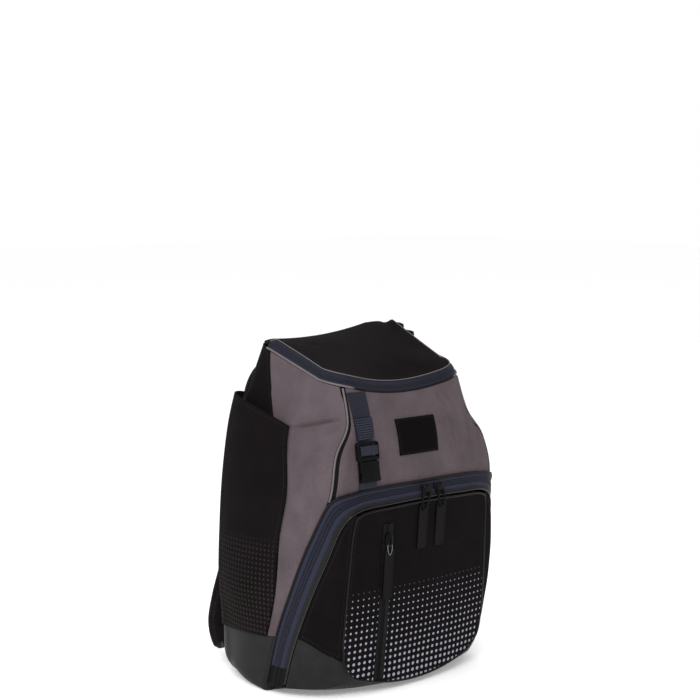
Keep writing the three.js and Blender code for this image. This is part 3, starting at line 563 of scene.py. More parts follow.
def cupped(piece, thick, angle):
    """Thickens a cupped skin and smooths its shading up to an angle."""
    apply(piece, "SOLIDIFY", thickness=thick * MM, offset=-1, use_even_offset=False)
    soften(piece, angle)


def wrapped(name, points):
    """A closed tube or pad through rings of points, each ring's first point repeated at its end."""
    piece = grid_piece(name, points)
    edit(piece, lambda: bpy.ops.mesh.remove_doubles(threshold=WELD * MM))
    edit(piece, lambda: bpy.ops.mesh.select_all(action="DESELECT"),
         lambda: bpy.ops.mesh.select_non_manifold(extend=False),
         lambda: bpy.ops.mesh.edge_face_add())
    edit(piece, lambda: bpy.ops.mesh.normals_make_consistent(inside=False))
    soften(piece, PAD_SMOOTH)
    return piece


def tube(name, path, radius, around=10):
    """Round piping along a path of points in millimetres."""
    ahead = unit(np.gradient(path, axis=0))
    side = unit(np.cross(ahead[0], [0.3, 0.5, 0.81]))
    rings = []
    turn = np.linspace(0, 2 * np.pi, around + 1)[:, None]
    for p, a in zip(path, ahead):
        side = unit(side - a * np.dot(side, a))
        up = np.cross(a, side)
        rings.append(p + radius * (np.cos(turn) * side + np.sin(turn) * up))
    return wrapped(name, np.array(rings))


def ripple(points, size, height, seed=0.0):
    """Soft uneven waves of cloth, the same each run."""
    flat = points.reshape(-1, 3) / size + seed
    return height * np.array([noise.noise(Vector(p)) for p in flat]).reshape(points.shape[:-1])


def folds(a, b, rows):
    """Creases along straight lines from (a0, b0) to (a1, b1), with a width and a height, tapered to their ends."""
    total = np.zeros(np.broadcast(a, b).shape)
    for a0, b0, a1, b1, width, height in rows:
        length = math.hypot(a1 - a0, b1 - b0)
        along = ((a - a0) * (a1 - a0) + (b - b0) * (b1 - b0)) / length
        off = ((a - a0) * (b1 - b0) - (b - b0) * (a1 - a0)) / length
        taper = smooth(along, -0.1 * length, 0.35 * length) * (1 - smooth(along, 0.65 * length, 1.1 * length))
        total = total + height * taper * np.exp(-(off / width) ** 2)
    return total


def frame_on(surface, u, v, lift):
    """Placing matrix on a surface: x across, y up along it, z outward."""
    u, v = np.asarray(u, float), np.asarray(v, float)
    normal = outward(surface, u, v)
    up = unit(np.array([0, 0, 1.0]) - normal * normal[2])
    return placing(np.cross(up, normal), up, normal, surface(u, v) + normal * lift)


def placing(across, up, normal, place):
    matrix = Matrix.Identity(4)
    for column, axis in enumerate((across, up, normal)):
        for row in range(3):
            matrix[row][column] = axis[row]
    matrix.translation = Vector(to_metres(np.asarray(place, float)))
    return matrix


def place(piece, matrix):
    piece.data.transform(matrix)
    piece.data.update()
    return piece


def select_faces(mesh, test):
    for group in (mesh.vertices, mesh.edges, mesh.polygons):
        group.foreach_set("select", np.zeros(len(group), bool))
    for face in mesh.polygons:
        face.select = test(face)


def rounded(piece, width, segments):
    """Rounds the sharp edges of a moulded piece."""
    apply(piece, "BEVEL", width=width * MM, segments=segments, limit_method="ANGLE", angle_limit=math.radians(50))


def plate(name, width, height, depth, corner, bevel=0.5, rim=0.0, recess=0.0):
    """A moulded plate with rounded corners lying on z = 0, with an edge bevel and a sunk field inside a rim."""
    deselect()
    bpy.ops.mesh.primitive_plane_add(size=1)
    piece = bpy.context.object
    piece.name = name
    edit(piece,
         lambda: bpy.ops.transform.resize(value=(width * MM, height * MM, 1)),
         lambda: bpy.ops.mesh.bevel(offset=corner * MM, segments=5, affect="VERTICES"),
         lambda: bpy.ops.mesh.extrude_region_move(TRANSFORM_OT_translate={"value": (0, 0, depth * MM)}),
         lambda: bpy.ops.mesh.select_all(action="SELECT"),
         lambda: bpy.ops.mesh.normals_make_consistent(inside=False))
    if rim:
        select_faces(piece.data, lambda f: f.normal.z > 0.9)
        activate(piece)
        bpy.ops.object.mode_set(mode="EDIT")
        bpy.ops.mesh.inset(thickness=rim * MM, depth=0)
        bpy.ops.mesh.inset(thickness=0.4 * MM, depth=-recess * MM)
        bpy.ops.object.mode_set(mode="OBJECT")
    if bevel:
        rounded(piece, bevel, 3)
    soften(piece, PLATE_SMOOTH)
    return piece


def hollowed(piece, *cutters):
    """The piece with other solids cut out of it."""
    for cutter in cutters:
        apply(piece, "BOOLEAN", operation="DIFFERENCE", solver="EXACT", object=cutter)
        bpy.data.objects.remove(cutter)
    return piece


def block(name, width, height, depth, x=0.0, y=0.0, z=0.0, bevel=0.0):
    """A block standing on z with its edges rounded."""
    deselect()
    bpy.ops.mesh.primitive_cube_add(size=1)
    piece = bpy.context.object
    piece.name = name
    edit(piece,
         lambda: bpy.ops.transform.resize(value=(width * MM, height * MM, depth * MM)),
         lambda: bpy.ops.transform.translate(value=(x * MM, y * MM, (z + depth / 2) * MM)))
    if bevel:
        rounded(piece, bevel, 3)
    return piece


def ring_of(name, long, wide, thick, matrix=Matrix.Identity(4)):
    """An oval wire ring."""
    deselect()
    bpy.ops.mesh.primitive_torus_add(major_segments=36, minor_segments=10, major_radius=1, minor_radius=0.2)
    piece = bpy.context.object
    piece.name = name
    mesh = piece.data
    co = np.empty(len(mesh.vertices) * 3)
    mesh.vertices.foreach_get("co", co)
    co = co.reshape(-1, 3)
    turn = np.arctan2(co[:, 1], co[:, 0])
    out = np.hypot(co[:, 0], co[:, 1]) - 1
    shift = out / 0.2 * thick / 2
    x = np.cos(turn) * (wide / 2 + shift)
    y = np.sin(turn) * (long / 2 + shift)
    z = co[:, 2] / 0.2 * thick / 2
    mesh.vertices.foreach_set("co", (np.stack([x, y, z], axis=-1) * MM).ravel())
    mesh.transform(matrix)
    soften(piece, PAD_SMOOTH)
    return piece


def joined(name, *pieces):
    deselect()
    for piece in pieces:
        piece.select_set(True)
    bpy.context.view_layer.objects.active = pieces[0]
    bpy.ops.object.join()
    piece = bpy.context.object
    piece.name = name
    return piece


# Materials

def feed(tree, node, inputs):
    """Links or sets inputs of a node, given as pairs of socket and value."""
    for key, value in inputs:
        if isinstance(value, bpy.types.NodeSocket):
            tree.links.new(value, node.inputs[key])
        else:
            node.inputs[key].default_value = value


def add_node(tree, kind, inputs=(), **settings):
    """Adds a node with its settings and inputs."""
    node = tree.nodes.new(kind)
    for name, value in settings.items():
        setattr(node, name, value)
    feed(tree, node, inputs)
    return node


def new_material(name):
    material = bpy.data.materials.new(name)
    material.use_nodes = True
    tree = material.node_tree
    tree.nodes.clear()
    shader = add_node(tree, "ShaderNodeBsdfPrincipled")
    output = add_node(tree, "ShaderNodeOutputMaterial")
    tree.links.new(shader.outputs[0], output.inputs[0])
    return material, tree, shader


def rgba(colour, gain=1.0):
    return (*[c * gain for c in colour], 1.0)


def maths(tree, operation, *values):
    """The result of an operation on sockets or numbers."""
    return add_node(tree, "ShaderNodeMath", enumerate(values), operation=operation).outputs[0]


def ramp(tree, value, start, end, low=0.0, high=1.0):
    """A value taken from the range start to end into the range low to high, and held at its ends."""
    return add_node(tree, "ShaderNodeMapRange", enumerate((value, start, end, low, high))).outputs[0]


def blend(tree, share, first, second):
    """A colour between two others, each a socket or a value."""
    return add_node(tree, "ShaderNodeMix", [("Factor", share), (6, first), (7, second)], data_type="RGBA").outputs[2]


def attribute(tree, name):
    return add_node(tree, "ShaderNodeAttribute", attribute_name=name).outputs["Fac"]


def on_cloth(tree):
    return add_node(tree, "ShaderNodeUVMap", uv_map="Cloth").outputs[0]


def in_space(tree):
    return add_node(tree, "ShaderNodeTexCoord").outputs["Object"]


def parted(tree, vector):
    return add_node(tree, "ShaderNodeSeparateXYZ", [(0, vector)]).outputs


def noised(tree, where, scale, detail, distortion=0.0):
    return add_node(tree, "ShaderNodeTexNoise", [("Vector", where), ("Scale", scale), ("Detail", detail),
                                                 ("Distortion", distortion)]).outputs[0]


def waved(tree, where, spacing, way):
    """Parallel threads a spacing apart, in metres."""
    return add_node(tree, "ShaderNodeTexWave", [("Vector", where), ("Scale", WAVE / spacing)],
                    bands_direction=way).outputs[1]


def bumped(tree, strength, distance, height):
    return add_node(tree, "ShaderNodeBump", [("Strength", strength), ("Distance", distance), ("Height", height)])


# A wave texture of scale 1 repeats every 0.314 m
WAVE = 0.314
# Lengths of a stitch with its gap, of a webbing's cross ribs and of its yarns, in metres, drawn longer than life
STITCH, RIB, YARN = 0.0042, 0.0032, 0.0024


def woven(name, colour, spacing, sheen=0.01, gloss=0.02, bump=0.4, stitch=0.0, contrast=0.18, printed=None,
          hem=None, creased=0.0):
    """Woven polyester: matte with a soft sheen, crossed threads and a slight unevenness of shade.

    spacing is the thread spacing in metres, drawn coarser than life so that it shows; stitch is how far from
    the edge a row of stitches runs, in metres; printed(tree, base) may lay a print over the colour; hem holds
    the colour, the two levels and the two widths of a dark band along the edge, the black binding with painted
    shade in the gap under the piping; creased is the depth of slight upright creases.
    """
    material, tree, shader = new_material(name)
    laid, where = on_cloth(tree), in_space(tree)
    height = maths(tree, "MULTIPLY", waved(tree, laid, spacing, "X"), waved(tree, laid, spacing, "Y"))
    uneven = maths(tree, "ADD", noised(tree, where, 30.0, 6.0), noised(tree, laid, 900.0, 2.0))
    lit = ramp(tree, uneven, 0.75, 1.25, 1 - contrast, 1 + contrast)
    grey = add_node(tree, "ShaderNodeCombineColor", enumerate((lit, lit, lit))).outputs[0]
    surface = add_node(tree, "ShaderNodeMix", [("Factor", 1.0), (6, rgba(colour)), (7, grey)], data_type="RGBA",
                       blend_type="MULTIPLY").outputs[2]
    if printed:
        surface = printed(tree, surface)
    if stitch:
        surface, height = stitched(tree, surface, height, colour, stitch)
    # A dark band along the edges: the black binding with painted shade in the gap under the piping
    if hem is not None:
        surface = bound_and_shaded_edge(tree, surface, *hem)
    relief = bumped(tree, bump, 0.0006, height)
    if creased:
        drawn = add_node(tree, "ShaderNodeMapping", [("Vector", where), ("Scale", (1.0, 1.0, 0.3))]).outputs[0]
        waves = bumped(tree, 0.6, creased, noised(tree, drawn, 60.0, 5.0, 0.8))
        feed(tree, relief, [("Normal", waves.outputs[0])])
    feed(tree, shader, [("Base Color", surface), ("Normal", relief.outputs[0]), ("Roughness", 0.88),
                        ("Specular IOR Level", gloss), ("Sheen Weight", sheen), ("Sheen Roughness", 0.5)])
    return material


def stitched(tree, surface, height, colour, distance):
    """A row of stitches at a distance from the edge: lighter thread dashes that stand up a little."""
    off = maths(tree, "ABSOLUTE", maths(tree, "SUBTRACT", attribute(tree, "inset"), distance))
    line = ramp(tree, off, 0.0004, 0.0008, 1.0, 0.0)
    wave = maths(tree, "SINE", maths(tree, "MULTIPLY", attribute(tree, "run"), 2 * math.pi / STITCH))
    thread = maths(tree, "MULTIPLY", line, ramp(tree, wave, -0.6, -0.2))
    lighter = rgba([c * 1.4 + 0.004 for c in colour])
    return blend(tree, thread, surface, lighter), maths(tree, "MULTIPLY_ADD", thread, 1.5, height)


def bound_and_shaded_edge(tree, surface, colour, levels, widths):
    """A dark band along the edge, the black binding with painted shade in the gap under the piping, whose width
    goes from the first to the second between two levels.
    """
    width = ramp(tree, parted(tree, in_space(tree))[2], *levels, *widths)
    off = maths(tree, "SUBTRACT", width, attribute(tree, "inset"))
    return blend(tree, ramp(tree, off, -0.0003, 0.0003), surface, rgba(colour))


def halftone(colour, pitch, axes, low, high, small, large):
    """A printed field of dots on a square lattice, growing from the level high down to the level low."""
    def printed(tree, surface):
        parts = parted(tree, in_space(tree))
        cells = []
        for axis in axes:
            share = maths(tree, "FRACT", maths(tree, "MULTIPLY", parts[axis], 1 / pitch))
            cells.append(maths(tree, "SUBTRACT", share, 0.5))
        spot = add_node(tree, "ShaderNodeCombineXYZ", enumerate(cells)).outputs[0]
        off = add_node(tree, "ShaderNodeVectorMath", [(0, spot)], operation="LENGTH").outputs["Value"]
        size = ramp(tree, parts[2], high, low, small / pitch / 2, large / pitch / 2)
        ink = ramp(tree, maths(tree, "SUBTRACT", size, off), -0.03, 0.03)
        fade = ramp(tree, parts[2], high, mix(high, low, 0.12))
        return blend(tree, maths(tree, "MULTIPLY", ink, fade), surface, rgba(colour))
    return printed


def coated(name, colour):
    """Coated tarpaulin cloth: a satin skin with a fine pebbled grain, a little scuffed."""
    material, tree, shader = new_material(name)
    where = in_space(tree)
    grain = add_node(tree, "ShaderNodeTexVoronoi", [("Vector", where), ("Scale", 480.0)]).outputs[0]
    scuff = noised(tree, where, 60.0, 8.0)
    shade = add_node(tree, "ShaderNodeValToRGB", [(0, scuff)])
    for element, position, gain in zip(shade.color_ramp.elements, (0.35, 0.75), (0.85, 1.25)):
        element.position, element.color = position, rgba(colour, gain)
    feed(tree, shader, [("Base Color", shade.outputs[0]), ("Roughness", ramp(tree, scuff, 0.3, 0.7, 0.42, 0.58)),
                        ("Normal", bumped(tree, 0.35, 0.0005, grain).outputs[0]), ("Specular IOR Level", 0.07)])
    return material


def zip_band(name, colour, dark, end_below=None, inner=1.0, binding=None, toothed_half=0.15, pitch=0.0026):
    """Reversed coil zip: smooth tape with fine ribs along it and a coil of teeth between two dark lines, with painted
    shade between the teeth and in the slit, and the ribs painted lighter on their crests and darker in their grooves.

    inner is the share of the band's width past which it is bound in another colour. The teeth are pitch apart in
    metres, drawn coarser than life so that they show, and reach toothed_half of the width from the middle.
    """
    material, tree, shader = new_material(name)
    across, along = attribute(tree, "across"), parted(tree, on_cloth(tree))[0]
    near = maths(tree, "ABSOLUTE", maths(tree, "SUBTRACT", across, 0.5 * inner))
    coil = ramp(tree, near, toothed_half, toothed_half + 0.03, 1.0, 0.0)
    # Painted shade in the slit between the two rows of coils
    slit = ramp(tree, near, 0.012, 0.03, 1.0, 0.0)
    line = ramp(tree, maths(tree, "ABSOLUTE", maths(tree, "SUBTRACT", near, 0.17)), 0.012, 0.035, 0.85, 0.0)
    teeth = maths(tree, "SINE", maths(tree, "MULTIPLY", along, 2 * math.pi / pitch))
    tooth = maths(tree, "MULTIPLY", teeth, coil)
    ribs = maths(tree, "SINE", maths(tree, "MULTIPLY", near, 2 * math.pi * 14))
    height = maths(tree, "MULTIPLY_ADD", tooth, 1.0, ribs)
    # Painted light and shade on the ribs: lighter on their crests, darker in their grooves
    tape = blend(tree, ramp(tree, ribs, -1.0, 1.0), rgba(colour, 0.75), rgba(colour, 1.25))
    # Painted shade in the hollows between the teeth
    shade_between_teeth = maths(tree, "MULTIPLY", ramp(tree, tooth, -1.0, 1.0, 0.75, 0.0), coil)
    # The painted shade and the two dark lines, laid in the dark colour
    dull = maths(tree, "MAXIMUM", shade_between_teeth, maths(tree, "MAXIMUM", line, slit))
    shown = blend(tree, dull, tape, rgba(dark))
    if binding is not None:
        shown = blend(tree, ramp(tree, across, inner - 0.015, inner + 0.015), shown, rgba(binding))
    if end_below:
        level = parted(tree, in_space(tree))[2]
        shown = blend(tree, ramp(tree, level, end_below, end_below - 0.0008), shown, rgba(dark))
    feed(tree, shader, [("Base Color", shown), ("Normal", bumped(tree, 0.5, 0.0005, height).outputs[0]),
                        ("Roughness", 0.5), ("Specular IOR Level", 0.06), ("Sheen Weight", 0.02)])
    return material


def webbing(name, colour, contrast=0.45, roughness=0.6):
    """Flat nylon webbing: cross ribs over lengthwise yarns, with a dull lustre; the colour is painted lighter on the
    raised ribs and darker in the hollows between them.
    """
    material, tree, shader = new_material(name)
    laid = on_cloth(tree)
    height = maths(tree, "MULTIPLY", waved(tree, laid, RIB, "Y"), waved(tree, laid, YARN, "X"))
    # Painted light and shade: lighter where the ribs stand up, darker in the hollows
    shade = blend(tree, height, rgba(colour, 1 - contrast), rgba(colour, 1 + 1.6 * contrast))
    feed(tree, shader, [("Base Color", shade), ("Normal", bumped(tree, 0.8, 0.0008, height).outputs[0]),
                        ("Roughness", roughness), ("Specular IOR Level", 0.1), ("Sheen Weight", 0.02)])
    return material


def moulded(name, colour, roughness, metallic=0.0, grain=900.0, bump=0.12, gloss=0.08, middle=None):
    """Moulded, cast or covered part with a fine even grain and a slightly uneven shine.

    middle is another colour and how far it reaches to the left and right of the bag's middle, in metres.
    """
    material, tree, shader = new_material(name)
    where = in_space(tree)
    fine, wear = noised(tree, where, grain, 2.0), noised(tree, where, 90.0, 4.0)
    rough = ramp(tree, wear, 0.3, 0.7, roughness - 0.06, roughness + 0.06)
    shade = blend(tree, wear, rgba(colour, 0.85), rgba(colour, 1.2))
    if middle is not None:
        other, reach = middle
        off = maths(tree, "ABSOLUTE", parted(tree, where)[0])
        shade = blend(tree, ramp(tree, off, reach - 0.003, reach + 0.003, 1.0, 0.0), shade, rgba(other))
    feed(tree, shader, [("Base Color", shade), ("Roughness", rough), ("Metallic", metallic),
                        ("Specular IOR Level", gloss), ("Normal", bumped(tree, bump, 0.0003, fine).outputs[0])])
    return material


MATERIALS = {}


def shaded(colour, gain):
    return [c * gain for c in colour]


def finish_of(key):
    """A finish of the bag, made when a piece first asks for it."""
    if key in MATERIALS:
        return MATERIALS[key]
    sizes, tints = bpy.context.scene.backpack_sizes, bpy.context.scene.backpack_colours
    spacing = sizes.thread_spacing
    # Half the black: painted shade under the grey panels' piping over their binding, and the pocket zip's dark, its
    # black ends and painted shade between its teeth
    edge = shaded(tints.black, 0.5)
    dots = halftone(tints.dots, sizes.dot_pitch, (0, 2), 0.012, 0.148, sizes.dot_pitch * 0.2, sizes.dot_pitch * 0.56)
    fine = sizes.dot_pitch * 0.75
    faint = halftone(tints.faint_dots, fine, (1, 2), 0.060, 0.214, fine * 0.4, fine * 0.62)
    makers = {
        # Matte polyester weaves: the grey has a faint lustre, slight creases and a dark bound edge with painted
        # shade under the piping, the blacks swallow light, and the pads show an open mesh
        "side_grey": lambda: woven("woven_polyester_grey", tints.grey, spacing, sheen=0.03, gloss=0.1, creased=0.004,
                                   hem=(edge, (0.395, 0.405), (0.0, 0.0022))),
        "front_grey": lambda: woven("woven_polyester_grey_bound_edge_shaded", tints.grey, spacing, sheen=0.03, gloss=0.1,
                                    creased=0.004, hem=(edge, (0.335, 0.385), (0.0046, 0.0016))),
        "black": lambda: woven("woven_polyester_black", tints.black, spacing, stitch=0.0045),
        "pad": lambda: woven("padded_air_mesh_black", shaded(tints.black, 2.6), spacing * 1.5, bump=1.0,
                             contrast=0.3, gloss=0.06, stitch=0.005),
        "dotted": lambda: woven("printed_polyester_dots", tints.black, spacing, stitch=0.004, printed=dots),
        "faint": lambda: woven("printed_polyester_faint_dots", tints.black, spacing, stitch=0.005, printed=faint),
        "patch": lambda: woven("woven_label_black", shaded(tints.black, 0.6), spacing * 0.6, stitch=0.0022),
        # A rubbery satin skin that catches a soft light
        "coated": lambda: coated("coated_tarpaulin", tints.coated),
        # Smooth tape with a row of coils that breaks up the light, painted darker between the coils and in their slit
        "lid_zip": lambda: zip_band("coil_zip_slate", tints.slate, tints.black, toothed_half=0.4, pitch=0.0036),
        "pocket_zip": lambda: zip_band("coil_zip_slate_black_ends", tints.slate, edge,
                                       end_below=0.040, inner=0.77, binding=tints.binding),
        "face_zip": lambda: zip_band("coil_zip_black", shaded(tints.black, 0.7), shaded(tints.black, 0.3)),
        # Covered cord, from a dull satin to a thin bright line; the grey piping also stands for a painted highlight
        # along the lid's dark upper piping
        "piping": lambda: moulded("satin_piping_black", tints.piping, 0.32, grain=300.0, gloss=0.1),
        "glossy_piping": lambda: moulded("glossy_piping_black", tints.piping, 0.2, grain=300.0, gloss=0.3),
        "light_piping": lambda: moulded("satin_piping_grey", tints.light_piping, 0.42, grain=300.0),
        "lid_piping": lambda: moulded("satin_piping_grey_black_front", tints.light_piping, 0.42, grain=300.0,
                                      middle=(tints.piping, 0.094)),
        # Ribbed nylon with painted light and shade on its ribs, the contrast how strong it is: plain on the panel,
        # doubled and sewn at the free end, pulled smooth round the buckle
        "webbing": lambda: webbing("nylon_webbing_slate", shaded(tints.slate, 0.6), contrast=0.2),
        "sewn_webbing": lambda: webbing("nylon_webbing_slate_sewn", tints.slate, contrast=0.85),
        "turned_webbing": lambda: webbing("nylon_webbing_slate_taut", shaded(tints.slate, 0.7), contrast=0.15,
                                          roughness=0.3),
        "dark_webbing": lambda: webbing("nylon_webbing_black", tints.black),
        # Hardware: fine-grained plastic, painted metal, bare wire and dull rubber
        "plastic": lambda: moulded("moulded_acetal_black", tints.plastic, 0.22, gloss=0.045),
        "metal": lambda: moulded("painted_zinc_black", tints.plastic, 0.22, gloss=0.08),
        "wire": lambda: moulded("blackened_steel_wire", tints.wire, 0.3, metallic=0.9),
        "rubber": lambda: moulded("moulded_rubber_black", shaded(tints.black, 0.6), 0.4, grain=500.0, gloss=0.055),
    }
    MATERIALS[key] = makers[key]()
    return MATERIALS[key]


# Settings a user may change

class BackpackSizes(bpy.types.PropertyGroup):
    """Sizes of the bag's finish."""
    thread_spacing: bpy.props.FloatProperty(
        name="Thread spacing", description="Distance between the drawn threads of the cloth",
        default=0.0026, min=0.0005, unit="LENGTH", subtype="DISTANCE")
    dot_pitch: bpy.props.FloatProperty(
        name="Dot pitch", description="Distance between the printed dots",
        default=0.0088, min=0.002, unit="LENGTH", subtype="DISTANCE")
    piping_radius: bpy.props.FloatProperty(
        name="Piping radius", description="Half the thickness of the piping",
        default=0.0014, min=0.0005, unit="LENGTH", subtype="DISTANCE")
    fold_height: bpy.props.FloatProperty(
        name="Fold height", description="Share of the cloth's folds that is shown",
        default=1.0, min=0.0, max=2.0, subtype="FACTOR")


def tint(name, description, hex_colour):
    return bpy.props.FloatVectorProperty(name=name, description=description, default=linear(hex_colour), size=3,
                                         min=0.0, max=1.0, subtype="COLOR")


class BackpackColours(bpy.types.PropertyGroup):
    """Colours of the bag's materials."""
    grey: tint("Grey cloth", "Front and side panels", "#4C4347")
    black: tint("Black cloth", "Lid, sleeves, pocket and pads", "#100D0E")
    slate: tint("Slate tape", "Zip tape and webbing", "#252735")
    binding: tint("Binding", "Bound inner edge of the pocket's zip", "#1C1B1D")
    coated: tint("Coated cloth", "Base and pocket corners", "#1E1E1F")
    piping: tint("Dark piping", "Piping of the pocket", "#100E0F")
    # Light piping also paints the highlight along the lid's dark upper piping
    light_piping: tint("Light piping", "Piping of the lid and the seams", "#5C5657")
    dots: tint("Dots", "Printed dots of the pocket's face", "#8E8E99")
    faint_dots: tint("Faint dots", "Printed dots of the bat sleeves", "#262120")
    plastic: tint("Plastic", "Buckle, adjusters and sliders", "#0C0C0D")
    wire: tint("Wire", "Loops of the zip pulls", "#6A6A6E")
    floor: tint("Floor", "Studio floor", "#FAFAFA")


# Operators, one for each piece or group of like pieces

# Size and height of the soft waves in each cloth
WAVES = {"back": (45, 0.8), "front": (55, 1.4), "side": (60, 1.8), "sleeve": (70, 1.6), "gusset": (45, 1.4),
         "face": (70, 1.0), "lid": (70, 2.2)}
# The padded back: depth and reach of its rounded edges, and place, depth, width and fading of its sewn lines
BACK = {"round": 2.4, "reach": 5.0, "lineX": 52, "line": 2.2, "lineWidth": 4.0, "fade": (6, 30)}


class BACKPACK_OT_back_panel(bpy.types.Operator):
    """Padded back panel with two sewn lines down it"""
    bl_idname = "backpack.back_panel"
    bl_label = "Back panel"

    def execute(self, context):
        u, v = trimmed(back_surface, 72, 96, (GAP,) * 4)
        points = back_surface(u, v)
        over, up = lengths(points, 1), lengths(points, 0)
        edge = np.minimum.reduce([over, over[:, -1:] - over, up, up[-1:] - up])
        crown = -BACK["round"] * np.exp(-edge / BACK["reach"])
        lines = sum(np.exp(-((points[..., 0] - x) / BACK["lineWidth"]) ** 2) for x in (-BACK["lineX"], BACK["lineX"]))
        lines = -BACK["line"] * lines * smooth(edge, *BACK["fade"])
        relief = crown + lines + ripple(points, *WAVES["back"])
        points = points + outward(back_surface, u, v) * relief[..., None]
        points[-1, :, 2] += UNDER_LID
        piece = grid_piece("back_panel_pad", points)
        faces_out(piece)
        apply(piece, "SOLIDIFY", thickness=(BACK_PAD - 1) * MM, offset=-1, use_even_offset=False)
        soften(piece, PAD_SMOOTH)
        finish_piece(piece, finish_of("pad"), "padded_black_cloth", "back_panel")
        return {"FINISHED"}


# Creases of the front panel as x, z of both ends, width and height, and of the side panels as y, z
FRONT_FOLDS = [
    [46, 394, 61, 373, 1.8, 1.6], [52, 397, 66, 377, 1.8, -1.6], [58, 398, 76, 376, 1.8, 1.5],
    [66, 397, 86, 374, 1.8, -1.5], [58, 374, 72, 300, 1.9, 1.8], [63, 378, 76, 306, 1.8, -1.6],
    [80, 385, 88, 298, 11, -3.6], [75, 380, 82, 318, 1.8, 1.4], [84, 380, 87, 326, 1.8, -1.4],
    [94, 372, 99, 306, 1.8, 1.5], [99, 372, 105, 300, 2.0, -1.8], [105, 374, 111, 298, 3, 2.4],
    [116, 362, 122, 300, 2.4, -1.8], [-60, 300, 30, 290, 9, 1.6], [-40, 384, 60, 380, 8, -1.4],
]
SIDE_FOLDS = [
    [-12, 356, -103, 376, 1.9, -4.0], [-14, 361, -101, 380, 2.6, 2.2], [-12, 350, -82, 362, 4, 1.6],
    [-103, 364, -74, 357, 4.5, -4.0], [-97, 350, -62, 328, 2.4, -1.6], [-98, 346, -66, 308, 2.4, 1.5],
    [-40, 346, -48, 280, 3.5, -1.2], [-60, 340, -66, 285, 3.5, 1.2], [-78, 335, -84, 270, 2.6, -1.5],
    [-88, 330, -92, 262, 2.4, 1.4], [-30, 330, -70, 240, 9, 1.2], [-60, 300, -90, 240, 7, -1.4],
    [-10, 250, -40, 130, 12, -1.4],
]


class BACKPACK_OT_panels(bpy.types.Operator):
    """Grey front panel and side panels with their folds"""
    bl_idname = "backpack.panels"
    bl_label = "Front and side panels"

    def execute(self, context):
        amount = context.scene.backpack_sizes.fold_height

        def front_relief(p, u, v):
            creased = folds(p[..., 0], p[..., 2], FRONT_FOLDS) + ripple(p, *WAVES["front"])
            return amount * creased * smooth(p[..., 2], 270, 300) * (1 - smooth(v, 0.9, 0.99))

        front = cloth("front_panel_cloth", front_surface, 270, 110, trim=(SEAM, SEAM, GAP, GAP), relief=front_relief)
        finish_piece(front, finish_of("front_grey"), "grey_cloth", "front_panel")
        for word, side in SIDES:
            def side_relief(p, u, v):
                creased = folds(p[..., 1], p[..., 2], SIDE_FOLDS) + ripple(p, *WAVES["side"], side)
                return amount * creased * smooth(u, 0, 0.15) * (1 - smooth(u, 0.93, 1)) * (1 - smooth(v, 0.93, 0.99))

            panel = cloth(f"side_panel_cloth_{word}", side_surface(side), 64, 250,
                          trim=(GAP, SEAM, GAP, GAP), relief=side_relief)
            finish_piece(panel, finish_of("side_grey"), "grey_cloth", f"side_panel_{word}")
        return {"FINISHED"}


class BACKPACK_OT_sleeves(bpy.types.Operator):
    """Bat sleeves and the lining behind them"""
    bl_idname = "backpack.sleeves"
    bl_label = "Bat sleeves"

    def execute(self, context):
        for word, side in SIDES:
            lining = cloth(f"sleeve_lining_cloth_{word}", lining_surface(side), 24, 60, raised=UNDER_LID)
            finish_piece(lining, finish_of("black"), "black_cloth", f"sleeve_lining_{word}")

            def relief(p, u, v):
                return ripple(p, *WAVES["sleeve"], side) * smooth(v, 0.03, 0.2) * np.sin(np.pi * u)

            sleeve = cloth(f"bat_sleeve_cloth_{word}", sleeve_surface(side), 48, 90, trim=(SEAM, GAP, GAP, 0),
                           relief=relief)
            finish_piece(sleeve, finish_of("faint"), "black_cloth", f"bat_sleeve_{word}")
        return {"FINISHED"}


# Smoothing angle and cut of the coated bases, and the gap that is merged where the pocket's corners meet its floor
BOOT_SMOOTH, BOOT_CUT, CORNER_WELD = 50, (1.3, 1.0), 0.3
# Numbers of places on the five runs of half a ring, of the base and of the lid
BOOT_PLACES, LID_PLACES = (12, 16, 36, 12, 16), (10, 16, 16, 12, 14)


def whole_ring(counts, side_from):
    """Sides and places of the points round a whole ring, closer together at the corners."""
    ends = (0, AT["backCorner"], side_from, AT["frontCorner"], AT["front"], 1)
    runs = [np.linspace(*run) for run in zip(ends, ends[1:], counts)]
    half = np.concatenate([runs[0], *[run[1:] for run in runs[1:]]])
    side = np.concatenate([np.full(len(half), LEFT), np.full(len(half) - 1, RIGHT)])
    return side, np.concatenate([half, half[-2::-1]])


